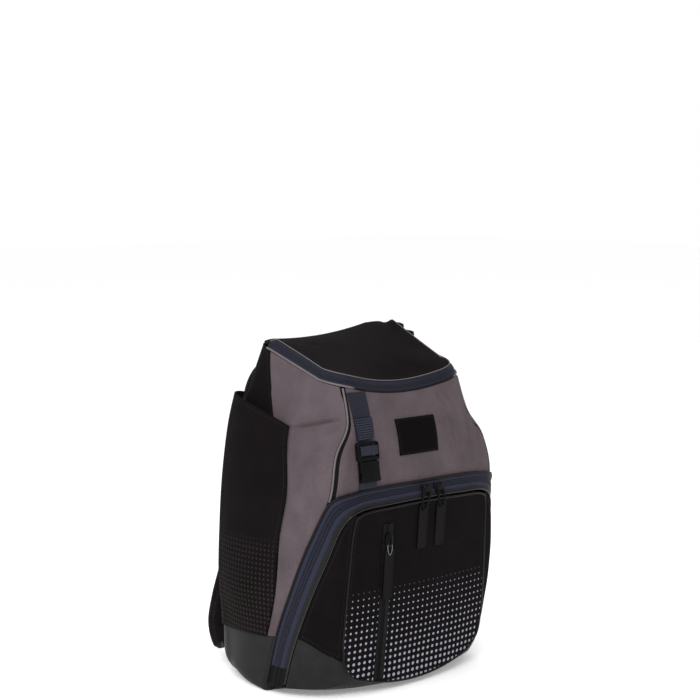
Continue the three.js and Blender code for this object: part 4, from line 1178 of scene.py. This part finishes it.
class BACKPACK_OT_boots(bpy.types.Operator):
    """Coated base of the bag and of the front pocket"""
    bl_idname = "backpack.boots"
    bl_label = "Coated bases"

    def execute(self, context):
        side, s = whole_ring(BOOT_PLACES, AT["side"])
        # Rows are closer together where the foot rolls in
        places = np.concatenate([np.linspace(0, 0.2, 10) ** 1.5 / 0.2 ** 0.5, np.linspace(0.22, 1, 22)])
        wall = body_point(side[None], s[None], places[:, None])
        wall[-1, :, 2] -= GAP
        middle = wall[0].mean(axis=0)
        base = [mix(middle, wall[0], share) for share in (0.0, 0.3, 0.6, 0.85, 0.96)]
        piece = cup_of("boot_shell", np.concatenate([np.array(base), wall]), middle + np.array([0, 0, 40.0]))
        cupped(piece, COATED, BOOT_SMOOTH)
        finish_piece(piece, finish_of("coated"), "coated_cloth", "boot")

        across, along = np.meshgrid(np.linspace(0, 1, 73), np.linspace(0, 1, 37))
        parts = [grid_piece("pocket_boot_shell", pocket_floor(across, along))]
        for word, side in SIDES:
            corner = pocket_corner(side)
            parts.append(grid_piece(f"pocket_corner_{word}", corner(*trimmed(corner, 24, 16, (SEAM, SEAM, GAP, 0)))))
        for part in parts:
            faces_out(part, (0, -60, 60))
        piece = joined("pocket_boot_shell", *parts)
        edit(piece, lambda: bpy.ops.mesh.remove_doubles(threshold=CORNER_WELD * MM))
        cupped(piece, COATED, BOOT_SMOOTH)
        finish_piece(piece, finish_of("coated"), "coated_cloth", "pocket_boot")
        return {"FINISHED"}


def chain_relief(points, u, v):
    """Rise of the zip's coil over its tape, with a slit along the middle."""
    return ZIP_CHAIN * np.exp(-((v - 0.5) / CHAIN_HALF) ** 4) - SLIT * np.exp(-((v - 0.5) / SLIT_HALF) ** 2)


def inside_rim(rim, points, shares):
    """Heights of a skin stretched inside a closed rim: a plane through it, with its waves dying out inward."""
    flat = np.column_stack([rim[:, 0], rim[:, 1], np.ones(len(rim))])
    plane = np.linalg.lstsq(flat, rim[:, 2], rcond=None)[0]
    waves = np.fft.rfft(rim[:-1, 2] - flat[:-1] @ plane)
    kept = waves[None] * np.maximum(shares, 1e-6) ** np.arange(len(waves))[None]
    rise = np.fft.irfft(kept, n=len(rim) - 1, axis=1)
    rise = np.concatenate([rise, rise[:, :1]], axis=1)
    return points[..., 0] * plane[0] + points[..., 1] * plane[1] + plane[2] + rise


class BACKPACK_OT_lid(bpy.types.Operator):
    """Lid and the zip round it"""
    bl_idname = "backpack.lid"
    bl_label = "Lid"

    def execute(self, context):
        side, s = whole_ring(LID_PLACES, LID["sideFrom"])
        rim = lid_edge(side, s)
        rim = rim + inward_of(rim) * (LID["trim"] * smooth(s, AT["backCorner"], LID["opened"]))[..., None]
        middle = mix(lid_edge(LEFT, np.array(1.0)), lid_edge(LEFT, np.array(0.0)), LID["middle"])
        shares = np.linspace(0, 1, 34)[:, None]
        points = mix(middle, rim[None], shares[..., None])
        points[..., 2] = inside_rim(rim, points, shares) + LID["dome"] * (1 - shares ** 2)
        points[..., 2] += ripple(points, *WAVES["lid"]) * (1 - shares ** 3)
        piece = cup_of("lid_cloth", points)
        cupped(piece, CLOTH, SMOOTH)
        finish_piece(piece, finish_of("black"), "black_cloth", "lid")
        band = cloth("lid_zip_band", lid_zip, 220, 18, thick=TAPE, trim=(GAP, GAP, ZIP_TRIM, ZIP_TRIM),
                     relief=chain_relief)
        finish_piece(band, finish_of("lid_zip"), "zip_tape", "lid_zip")
        return {"FINISHED"}


class BACKPACK_OT_pocket(bpy.types.Operator):
    """Front pocket: zip band, gussets, printed face and upright zip"""
    bl_idname = "backpack.pocket"
    bl_label = "Front pocket"

    def execute(self, context):
        band = cloth("pocket_zip_band", pocket_zip, 300, 18, thick=TAPE, trim=(1, 1, ZIP_TRIM, ZIP_TRIM),
                     relief=chain_relief)
        finish_piece(band, finish_of("pocket_zip"), "zip_tape", "pocket_zip")
        for word, side in SIDES:
            surface = gusset_surface(side, lambda u: u * 0 + GUSSET["top"], coated_line)

            def relief(p, u, v):
                return ripple(p, *WAVES["gusset"], side) * np.sin(np.pi * u) * smooth(v, 0.1, 0.3)

            gusset = cloth(f"pocket_gusset_cloth_{word}", surface, 24, 60, trim=(SEAM, SEAM, 0, GAP), relief=relief)
            finish_piece(gusset, finish_of("black"), "black_cloth", f"pocket_gusset_{word}")

        def face_relief(p, u, v):
            near = np.exp(-((p[..., 0] - FACE_ZIP["x"]) / (FACE_ZIP["width"] * FACE_ZIP["bed"])) ** 8)
            waves = (1 - near) * ripple(p, *WAVES["face"]) * np.sin(np.pi * u)
            return waves - FACE_ZIP["sunk"] * near * smooth(v, 0.02, 0.06)

        face = cloth("pocket_face_cloth", face_surface, 110, 90, trim=(FACE["trim"],) * 4, relief=face_relief)
        finish_piece(face, finish_of("dotted"), "black_cloth", "pocket_face")
        z = np.linspace(FACE_ZIP["footZ"], FACE_ZIP["topZ"], 90)
        share = np.linspace(0, 1, 17)[:, None]
        u, v = search(face_surface, FACE_ZIP["x"] + (share - 0.5) * FACE_ZIP["width"], z[None])
        lift = chain_relief(None, None, share) + FACE_ZIP["lift"]
        points = face_surface(u, v) + outward(face_surface, u, v) * lift[..., None]
        upright = sheet_of("face_zip_band", points, TAPE)
        finish_piece(upright, finish_of("face_zip"), "zip_tape", "face_zip")
        return {"FINISHED"}


PIPING_END = 0.012


class BACKPACK_OT_piping(bpy.types.Operator):
    """Piping along the seams"""
    bl_idname = "backpack.piping"
    bl_label = "Piping"

    def execute(self, context):
        radius = context.scene.backpack_sizes.piping_radius / MM
        line = np.linspace(0, 1, 181)
        inner = mix(PIPING_END, 1 - PIPING_END, line)
        side, t = two_sided(inner, POCKET_END)
        # name, path, finish, share of the radius
        runs = [
            ("lid_piping_lower", lid_zip(line, line * 0), "lid_piping", 1.0),
            # The lid's upper piping is dark; its thin grey cord here is a painted highlight
            ("lid_piping_upper", lid_zip(line, line * 0 + 1), "light_piping", 0.5),
            ("pocket_piping_outer", pocket_line(side, t, "seam"), "piping", 1.4),
            ("pocket_piping_inner", pocket_line(side, t, "band"), "glossy_piping", 0.8),
            ("face_piping", face_outline(line), "piping", 1.2),
        ]
        for word, way in SIDES:
            path = body_point(way, AT["frontSeam"], mix(SEAM_LINE["foot"], SEAM_LINE["top"], line[::3]))
            runs.append((f"seam_piping_{word}", path, "light_piping", 1.0))
        for name, path, key, share in runs:
            piece = tube(name + "_cord", path, radius * share)
            finish_piece(piece, finish_of(key), "piping", name)
        return {"FINISHED"}


STRAP = table("x y z width thick", [
    [52, 92, 421, 60, 10], [53, 114, 424, 62, 12], [58, 131, 406, 62, 13], [64, 140, 370, 62, 13],
    [70, 145, 300, 62, 13], [77, 150, 220, 60, 13], [89, 161, 150, 56, 13], [101, 174, 90, 50, 12],
    [108, 178, 50, 44, 11], [111, 166, 21, 38, 10], [113.5, 146.5, 25.5, 32, 8],
])
# Ends of the strap in rows of its table, powers that square its section, and depth and place of its hem
STRAP_FORM = {"start": 0.25, "end": 0.02, "step": 0.05, "square": (0.35, 0.6), "hem": 0.45, "hemFrom": (0.72, 0.84)}
ADJUSTER = {"width": 36, "length": 14, "thick": 6, "gap": 1.2, "corner": 2.5, "slot": 2.6, "slotY": 3.4, "room": 2}
WEB = {"width": 25, "thick": 1.8, "front": 30, "turned": 0.93, "anchorZ": 34, "anchorLift": 2.2, "lift": 0.6,
       "sag": 1.2}


def squared(wave, power):
    """A sine or cosine whose round is drawn out towards a square."""
    return np.sign(wave) * np.abs(wave) ** power


def strap_rings(side, count, around):
    end = len(STRAP["x"]) - 1
    at = np.linspace(STRAP_FORM["start"], end - STRAP_FORM["end"], count)
    row = sample(STRAP, at)

    def middle(values):
        return vec(side * values["x"], values["y"], values["z"])

    step = STRAP_FORM["step"]
    ahead = unit(middle(sample(STRAP, np.minimum(at + step, end))) - middle(sample(STRAP, at - step)))
    wide = unit(np.array([1.0, 0, 0]) - ahead * ahead[:, :1])
    deep = np.cross(ahead, wide)
    turn = np.linspace(0, 2 * np.pi, around + 1)
    a = squared(np.cos(turn), STRAP_FORM["square"][0])
    b = squared(np.sin(turn), STRAP_FORM["square"][1])
    hem = 1 - STRAP_FORM["hem"] * smooth(np.abs(a), *STRAP_FORM["hemFrom"])
    half_wide, half_thick = (row[k][:, None, None] / 2 for k in ("width", "thick"))
    return (middle(row)[:, None] + wide[:, None] * a[None, :, None] * half_wide
            + deep[:, None] * (b * hem)[None, :, None] * half_thick)


class BACKPACK_OT_straps(bpy.types.Operator):
    """Padded shoulder straps, their adjusters and the webbing to the base"""
    bl_idname = "backpack.straps"
    bl_label = "Shoulder straps"

    def execute(self, context):
        for word, side in SIDES:
            strap = wrapped(f"shoulder_strap_pad_{word}", strap_rings(side, 130, 48))
            finish_piece(strap, finish_of("pad"), "padded_black_cloth", f"shoulder_strap_{word}")
            tip = np.array([side * STRAP["x"][-1], STRAP["y"][-1], STRAP["z"][-1]])
            anchor = body_at_height(side, AT["webbing"], WEB["anchorZ"])
            boot = outward(lambda u, v: body_point(side, u, v), np.array(AT["webbing"]), np.array(RIM / 2))
            anchor = anchor + boot * WEB["anchorLift"]
            way = unit(anchor - tip)
            wide = unit(np.array([1.0, 0, 0]) - way * way[0])
            up = np.cross(wide, way)
            centre = tip + way * (ADJUSTER["length"] / 2 + ADJUSTER["gap"])
            bar = plate(f"strap_adjuster_bar_{word}", ADJUSTER["width"], ADJUSTER["length"], ADJUSTER["thick"],
                        ADJUSTER["corner"], bevel=1.0)
            hollowed(bar, *[block("slot", WEB["width"] + ADJUSTER["room"], ADJUSTER["slot"], 20, y=y, z=-6)
                            for y in (-ADJUSTER["slotY"], ADJUSTER["slotY"])])
            soften(bar, PLATE_SMOOTH)
            bar.data.transform(Matrix.Translation((0, 0, -ADJUSTER["thick"] / 2 * MM)))
            place(bar, placing(wide, way, up, centre))
            finish_piece(bar, finish_of("plastic"), "moulded_plastic", f"strap_adjuster_{word}")
            start = tip + way * (ADJUSTER["length"] + ADJUSTER["gap"] + GAP)
            across = np.linspace(-0.5, 0.5, 9)[None, :, None] * WEB["width"] * wide
            share = np.linspace(0, 1, 14)[:, None, None]
            sag = up * (-WEB["sag"] * np.sin(np.pi * share))
            points = mix(start, anchor, share) + across + sag + up * WEB["thick"] / 2
            web = sheet_of(f"strap_webbing_band_{word}", points, WEB["thick"], centre=tuple(anchor - up * 60))
            finish_piece(web, finish_of("dark_webbing"), "strap_webbing", f"strap_webbing_{word}")
        return {"FINISHED"}


BUCKLE = {"x": -95, "lean": 4, "topZ": 406.6, "webZ": 347, "plugTop": 344, "meet": 319, "socketFoot": 292,
          "loopTop": 291.6, "loopFoot": 283.4, "width": 36, "thick": 9, "wall": 2, "lift": 1.2, "corner": 5,
          "loopLift": 1.6, "tailZ": 374, "slots": (0.3, 0.8), "edge": 0.4, "waist": 0.24, "waistAt": 0.05, "round": 1.6,
          "tailLean": 0.47}
# The plug's head as shares of the buckle and in millimetres, then its prongs: widths, shares of the socket's length,
# how far they start in the head and how far they stay clear of the socket
PLUG = {"thick": 0.8, "corner": 4, "round": 1.4, "rise": 0.6, "slot": 4.4, "slotRoom": 1.5, "arm": 5, "armLong": 0.62,
        "armIn": 4, "tongue": 9, "tongueLong": 0.5, "into": 1, "clear": 0.5, "edge": 0.8}
# The webbing's turn round the plug's bar: power that squares it, its middle and half height, and its thickness
TURN = {"square": 0.6, "more": 0.6, "middle": 0.45, "half": 0.42, "over": 0.8, "narrow": 1.0, "thick": 1.2}


def waisted(piece, tall, share):
    """Draws a plate in between its ends."""
    for vertex in piece.data.vertices:
        along = vertex.co.y / (tall * MM / 2)
        vertex.co.x *= 1 - share * (1 - min(abs(along - BUCKLE["waistAt"]), 1) ** 2)


def webbing_on_front(name, low, high, lean, lift, rows):
    share = np.linspace(0, 1, rows)[:, None]
    across = np.linspace(-0.5, 0.5, 13)[None] * WEB["front"] * WEB["turned"]
    u, v = search(front_wide, BUCKLE["x"] + lean * share + across, mix(low, high, share) + across * 0)
    points = front_wide(u, v) + outward(front_wide, u, v) * lift
    return sheet_of(name, points, WEB["thick"])


class BACKPACK_OT_buckle(bpy.types.Operator):
    """Buckled strap at the front left"""
    bl_idname = "backpack.buckle"
    bl_label = "Buckled strap"

    def execute(self, context):
        upper = webbing_on_front("buckle_webbing_upper_band", BUCKLE["webZ"], BUCKLE["topZ"], BUCKLE["lean"],
                                 WEB["thick"] + WEB["lift"], 30)
        finish_piece(upper, finish_of("webbing"), "webbing", "buckle_webbing_upper")
        tail = webbing_on_front("buckle_webbing_tail", BUCKLE["webZ"], BUCKLE["tailZ"],
                                BUCKLE["lean"] * BUCKLE["tailLean"], 2 * WEB["thick"] + WEB["lift"] + GAP, 16)
        finish_piece(tail, finish_of("sewn_webbing"), "webbing")
        lower = webbing_on_front("buckle_webbing_lower_band", BUCKLE["loopFoot"], BUCKLE["loopTop"] + 2, 0,
                                 WEB["thick"] + BUCKLE["loopLift"], 8)
        finish_piece(lower, finish_of("turned_webbing"), "webbing", "buckle_webbing_lower")
        u, v = search(front_wide, np.array([float(BUCKLE["x"])]), np.array([float(BUCKLE["meet"])]))
        seat = frame_on(front_wide, u[0], v[0], BUCKLE["lift"])
        wide, thick, wall = BUCKLE["width"], BUCKLE["thick"], BUCKLE["wall"]
        tall = BUCKLE["meet"] - BUCKLE["socketFoot"]
        inside = thick - 2 * wall
        socket = plate("buckle_socket_shell", wide, tall, thick, BUCKLE["corner"], bevel=BUCKLE["round"])
        waisted(socket, tall, BUCKLE["waist"])
        socket.data.transform(Matrix.Translation((0, (-tall / 2 - GAP) * MM, 0)))
        hollowed(socket,
                 block("hollow", wide - 2 * wall, tall, inside, y=-tall / 2 + 2 * wall, z=wall),
                 block("windows", wide + 2 * wall, tall * 0.45, inside, y=-tall * 0.42, z=wall))
        rounded(socket, BUCKLE["edge"], 2)
        soften(socket, PLATE_SMOOTH)
        place(socket, seat)
        finish_piece(socket, finish_of("plastic"), "moulded_plastic", "buckle_socket")
        plug_tall = BUCKLE["plugTop"] - BUCKLE["meet"]
        head = plate("buckle_plug_head", wide, plug_tall, thick * PLUG["thick"], PLUG["corner"], bevel=PLUG["round"])
        head.data.transform(Matrix.Translation((0, (plug_tall / 2 + GAP) * MM, PLUG["rise"] * MM)))
        hollowed(head, *[block("slot", WEB["front"] + PLUG["slotRoom"], PLUG["slot"], 3 * thick, y=plug_tall * at,
                               z=-thick) for at in BUCKLE["slots"]])
        rounded(head, BUCKLE["edge"], 2)
        reach = wide / 2 - wall - PLUG["armIn"]
        prongs = [block(name, PLUG[name], tall * PLUG[name + "Long"], inside - 2 * PLUG["clear"], x=x,
                        y=PLUG["into"] - tall * PLUG[name + "Long"] / 2, z=wall + PLUG["clear"], bevel=PLUG["edge"])
                  for name, x in (("arm", -reach), ("arm", reach), ("tongue", 0.0))]
        bar = plug_tall * sum(BUCKLE["slots"]) / 2
        turn = np.linspace(0, 2 * np.pi, 33)
        long = plug_tall * (BUCKLE["slots"][1] - BUCKLE["slots"][0]) / 2 + TURN["more"]
        high = thick * TURN["half"] + TURN["over"]
        loop = vec(turn * 0, bar + long * squared(np.cos(turn), TURN["square"]),
                   thick * TURN["middle"] + PLUG["rise"] + high * squared(np.sin(turn), TURN["square"]))
        across = np.linspace(-0.5, 0.5, 11)[None, :, None] * np.array([WEB["front"] - TURN["narrow"], 0, 0])
        wrap = sheet_of("buckle_webbing_turn", loop[:, None] + across - np.array([0, CENTRE_Y, 0]), TURN["thick"],
                        centre=(0, bar - CENTRE_Y, thick * TURN["middle"]))
        place(wrap, seat)
        finish_piece(wrap, finish_of("turned_webbing"), "webbing")
        plug = joined("buckle_plug_body", head, *prongs)
        soften(plug, PLATE_SMOOTH)
        place(plug, seat)
        finish_piece(plug, finish_of("plastic"), "moulded_plastic", "buckle_plug")
        return {"FINISHED"}


PATCH = {"x": 1, "z": 343, "width": 71, "height": 47, "thick": 1.4, "lift": 0.5}


class BACKPACK_OT_patch(bpy.types.Operator):
    """Bare woven patch with a stitched border"""
    bl_idname = "backpack.patch"
    bl_label = "Patch"

    def execute(self, context):
        x = PATCH["x"] + np.linspace(-0.5, 0.5, 41)[None] * PATCH["width"]
        z = PATCH["z"] + np.linspace(-0.5, 0.5, 29)[:, None] * PATCH["height"]
        u, v = search(front_wide, x + z * 0, z + x * 0)
        points = front_wide(u, v)
        lift = PATCH["thick"] + PATCH["lift"] + ripple(points, *WAVES["front"])
        points = points + outward(front_wide, u, v) * lift[..., None]
        piece = sheet_of("patch_label", points, PATCH["thick"])
        finish_piece(piece, finish_of("patch"), "black_cloth", "patch")
        return {"FINISHED"}


SLIDER = {"width": 12, "length": 17, "thick": 3.2, "corner": 3.5, "lift": ZIP_CHAIN + 0.4, "edge": 0.8}
# The slider's crown as shares of it and in millimetres, and its arch as length, width and thickness
CROWN = {"width": 0.66, "length": 0.8, "thick": 2.2, "corner": 2.4, "sunk": 0.2}
ARCH, ARCH_LIFT = (11, 5, 2.2), 1.2
TAG = {"width": 17, "thick": 2, "corner": 3, "edge": 0.5, "rim": 1.2, "recess": 0.4}
# Loops from slider to tag: height on the slider, reach into and over the tag, extra length, and widths and thicknesses
LOOP = {"from": 3.4, "into": 5, "over": 2.2, "more": 5, "wire": (8, 1.3), "rubber": (11, 4.2)}
PULLS = [
    # name, x of the slider, tag's x, top and length, tag's lift
    ("pocket_zip_a", 3, -6, 254, 62, 0.45),
    ("pocket_zip_b", 29, 27, 254, 62, 0.5),
]
FACE_PULL = {"place": 180, "places": 201, "x": -64, "top": 200, "length": 68, "lift": 1.45}
LID_PULLS = (("lid_zip_a", 0.97), ("lid_zip_b", 0.925))


def slider(name):
    body = plate(name, SLIDER["width"], SLIDER["length"], SLIDER["thick"], SLIDER["corner"], bevel=SLIDER["edge"])
    crown = plate("crown", SLIDER["width"] * CROWN["width"], SLIDER["length"] * CROWN["length"], CROWN["thick"],
                  CROWN["corner"], bevel=SLIDER["edge"])
    crown.data.transform(Matrix.Translation((0, 0, (SLIDER["thick"] - CROWN["sunk"]) * MM)))
    lifted_by = Matrix.Translation((0, 0, (SLIDER["thick"] + ARCH_LIFT) * MM))
    arch = ring_of("arch", *ARCH, lifted_by @ Matrix.Rotation(math.pi / 2, 4, "Y"))
    return joined(name, body, crown, arch)


def tag_seat(x, top, length, lift):
    """Placing of a tag that hangs down the pocket's face, clear of the cloth between its ends."""
    u, v = search(face_surface, np.array([x, x], float), np.array([top, top - length], float))
    ends = face_surface(u, v) + outward(face_surface, u, v) * lift
    up = unit(ends[0] - ends[1])
    across = unit(np.array([1.0, 0, 0]) - up * up[0])
    return placing(across, up, np.cross(across, up), ends.mean(axis=0)), ends[0], up


class BACKPACK_OT_pulls(bpy.types.Operator):
    """Zip sliders, their wire loops and bare pull tags"""
    bl_idname = "backpack.pulls"
    bl_label = "Zip pulls"

    def execute(self, context):
        z = np.linspace(FACE_ZIP["footZ"], FACE_ZIP["topZ"], FACE_PULL["places"])
        u, v = search(face_surface, z * 0 + FACE_ZIP["x"], z)
        seat = frame_on(face_surface, u[FACE_PULL["place"]], v[FACE_PULL["place"]], SLIDER["lift"])
        runs = []
        for name, x, tag_x, top, length, lift in PULLS:
            at = 0.5 + x / POCKET["bandHalf"][1] / 2 / POCKET_END
            runs.append((name, frame_on(pocket_zip, at, 0.5, SLIDER["lift"]), math.pi / 2, tag_x, top, length, lift))
        runs.append(("face_zip", seat, 0.0, *(FACE_PULL[key] for key in ("x", "top", "length", "lift"))))
        for name, seat, turn, x, top, length, lift in runs:
            body = slider(name + "_slider_body")
            body.data.transform(Matrix.Rotation(turn, 4, "Z"))
            place(body, seat)
            finish_piece(body, finish_of("metal"), "slider_metal", name + "_slider")
            tag = plate(name + "_tag_strip", TAG["width"], length, TAG["thick"], TAG["corner"], bevel=TAG["edge"],
                        rim=TAG["rim"], recess=TAG["recess"])
            matrix, head, up = tag_seat(x, top, length, lift)
            place(tag, matrix)
            finish_piece(tag, finish_of("rubber"), "pull_rubber", name + "_tag")
            start = np.array(seat.translation) / MM - np.array([0, CENTRE_Y, 0])
            start = start + np.array(seat.col[2][:3]) * LOOP["from"]
            end = head - up * LOOP["into"] + np.cross(np.array([1.0, 0, 0]), up) * LOOP["over"]
            way = unit(end - start)
            across = unit(np.array([1.0, 0, 0]) - way * way[0])
            span = float(np.linalg.norm(end - start)) + LOOP["more"]
            key, slot = ("wire", "slider_metal") if name == "face_zip" else ("rubber", "pull_rubber")
            loop = ring_of(name + "_loop", span, *LOOP[key])
            place(loop, placing(across, way, np.cross(across, way), (start + end) / 2))
            finish_piece(loop, finish_of(key), slot)
        for name, at in LID_PULLS:
            body = slider(name + "_slider_body")
            body.data.transform(Matrix.Rotation(math.pi / 2, 4, "Z"))
            place(body, frame_on(lid_zip, at, 0.5, SLIDER["lift"]))
            finish_piece(body, finish_of("metal"), "slider_metal", name + "_slider")
        return {"FINISHED"}


# Size of the floor in metres, its faint glow, and the sky's strength on the bag and as the backdrop
STUDIO = {"floor": 24, "glow": 0.22, "sky": 0.8, "backdrop": 1.0, "aim": (0, 0, 0.25)}
LAMPS = [
    # name, place and size in metres, power in watts
    ("key", (-1.9, -1.9, 2.1), 1.1, 58.0), ("fill", (2.0, -1.7, 1.4), 1.4, 3.0),
    ("top", (0.2, 0.7, 2.6), 1.6, 12.0), ("left", (-2.5, 0.3, 1.3), 1.1, 20.0),
]
CAMERA = {"place": (-1.5476, -1.7233, 0.6904), "aim": (-0.017, -0.0234, 0.450), "lens": 85.9, "sensor": 36.0}


class BACKPACK_OT_stage(bpy.types.Operator):
    """Pale floor, soft studio light and the camera"""
    bl_idname = "backpack.stage"
    bl_label = "Stage"

    def execute(self, context):
        scene = context.scene
        deselect()
        bpy.ops.mesh.primitive_plane_add(size=STUDIO["floor"])
        floor = context.object
        floor.name = "studio_floor"
        material, tree, shader = new_material("matte_studio_floor")
        # A faint glow keeps the floor as white far away as it is under the lamps
        feed(tree, shader, [("Base Color", rgba(scene.backpack_colours.floor)), ("Roughness", 0.9),
                            ("Emission Color", (1, 1, 1, 1)), ("Emission Strength", STUDIO["glow"])])
        floor.data.materials.append(material)
        world = scene.world or bpy.data.worlds.new("studio")
        scene.world = world
        world.use_nodes = True
        sky = world.node_tree.nodes["Background"]
        sky.inputs[0].default_value = (1, 1, 1, 1)
        # The backdrop that the camera sees is white, and the light that falls on the bag is softer
        path = add_node(world.node_tree, "ShaderNodeLightPath")
        glow = ramp(world.node_tree, path.outputs["Is Camera Ray"], 0.0, 1.0, STUDIO["sky"], STUDIO["backdrop"])
        world.node_tree.links.new(glow, sky.inputs[1])
        aim = Vector(STUDIO["aim"])
        for name, where, size, power in LAMPS:
            bpy.ops.object.light_add(type="AREA", location=where)
            lamp = context.object
            lamp.name = name + "_softbox"
            lamp.data.size = size
            lamp.data.energy = power
            lamp.rotation_euler = (aim - Vector(where)).to_track_quat("-Z", "Y").to_euler()
        bpy.ops.object.camera_add(location=CAMERA["place"])
        camera = context.object
        camera.rotation_euler = (Vector(CAMERA["aim"]) - Vector(CAMERA["place"])).to_track_quat("-Z", "Y").to_euler()
        camera.data.sensor_width = CAMERA["sensor"]
        camera.data.sensor_fit = "HORIZONTAL"
        camera.data.lens = CAMERA["lens"]
        scene.camera = camera
        scene.view_settings.view_transform = "Standard"
        return {"FINISHED"}


OPERATORS = (
    BACKPACK_OT_stage, BACKPACK_OT_back_panel, BACKPACK_OT_panels, BACKPACK_OT_sleeves, BACKPACK_OT_boots,
    BACKPACK_OT_lid, BACKPACK_OT_pocket, BACKPACK_OT_piping, BACKPACK_OT_straps, BACKPACK_OT_buckle,
    BACKPACK_OT_patch, BACKPACK_OT_pulls,
)


class BACKPACK_PT_sidebar(bpy.types.Panel):
    """Lists the pieces of the backpack"""
    bl_label = "Backpack"
    bl_idname = "BACKPACK_PT_sidebar"
    bl_space_type = "VIEW_3D"
    bl_region_type = "UI"
    bl_category = "Backpack"

    def draw(self, context):
        for group in (context.scene.backpack_sizes, context.scene.backpack_colours):
            for name in group.__annotations__:
                self.layout.prop(group, name)
        for operator in OPERATORS:
            self.layout.operator(operator.bl_idname)


CLASSES = (BackpackSizes, BackpackColours, *OPERATORS, BACKPACK_PT_sidebar)


def register():
    for cls in CLASSES:
        bpy.utils.register_class(cls)
    bpy.types.Scene.backpack_sizes = bpy.props.PointerProperty(type=BackpackSizes)
    bpy.types.Scene.backpack_colours = bpy.props.PointerProperty(type=BackpackColours)


def unregister():
    del bpy.types.Scene.backpack_sizes
    del bpy.types.Scene.backpack_colours
    for cls in reversed(CLASSES):
        bpy.utils.unregister_class(cls)


def main():
    register()
    for operator in OPERATORS:
        group, name = operator.bl_idname.split(".")
        if getattr(getattr(bpy.ops, group), name)() != {"FINISHED"}:
            raise RuntimeError(operator.bl_label + " did not finish")
    deselect()


if __name__ == "__main__":
    main()
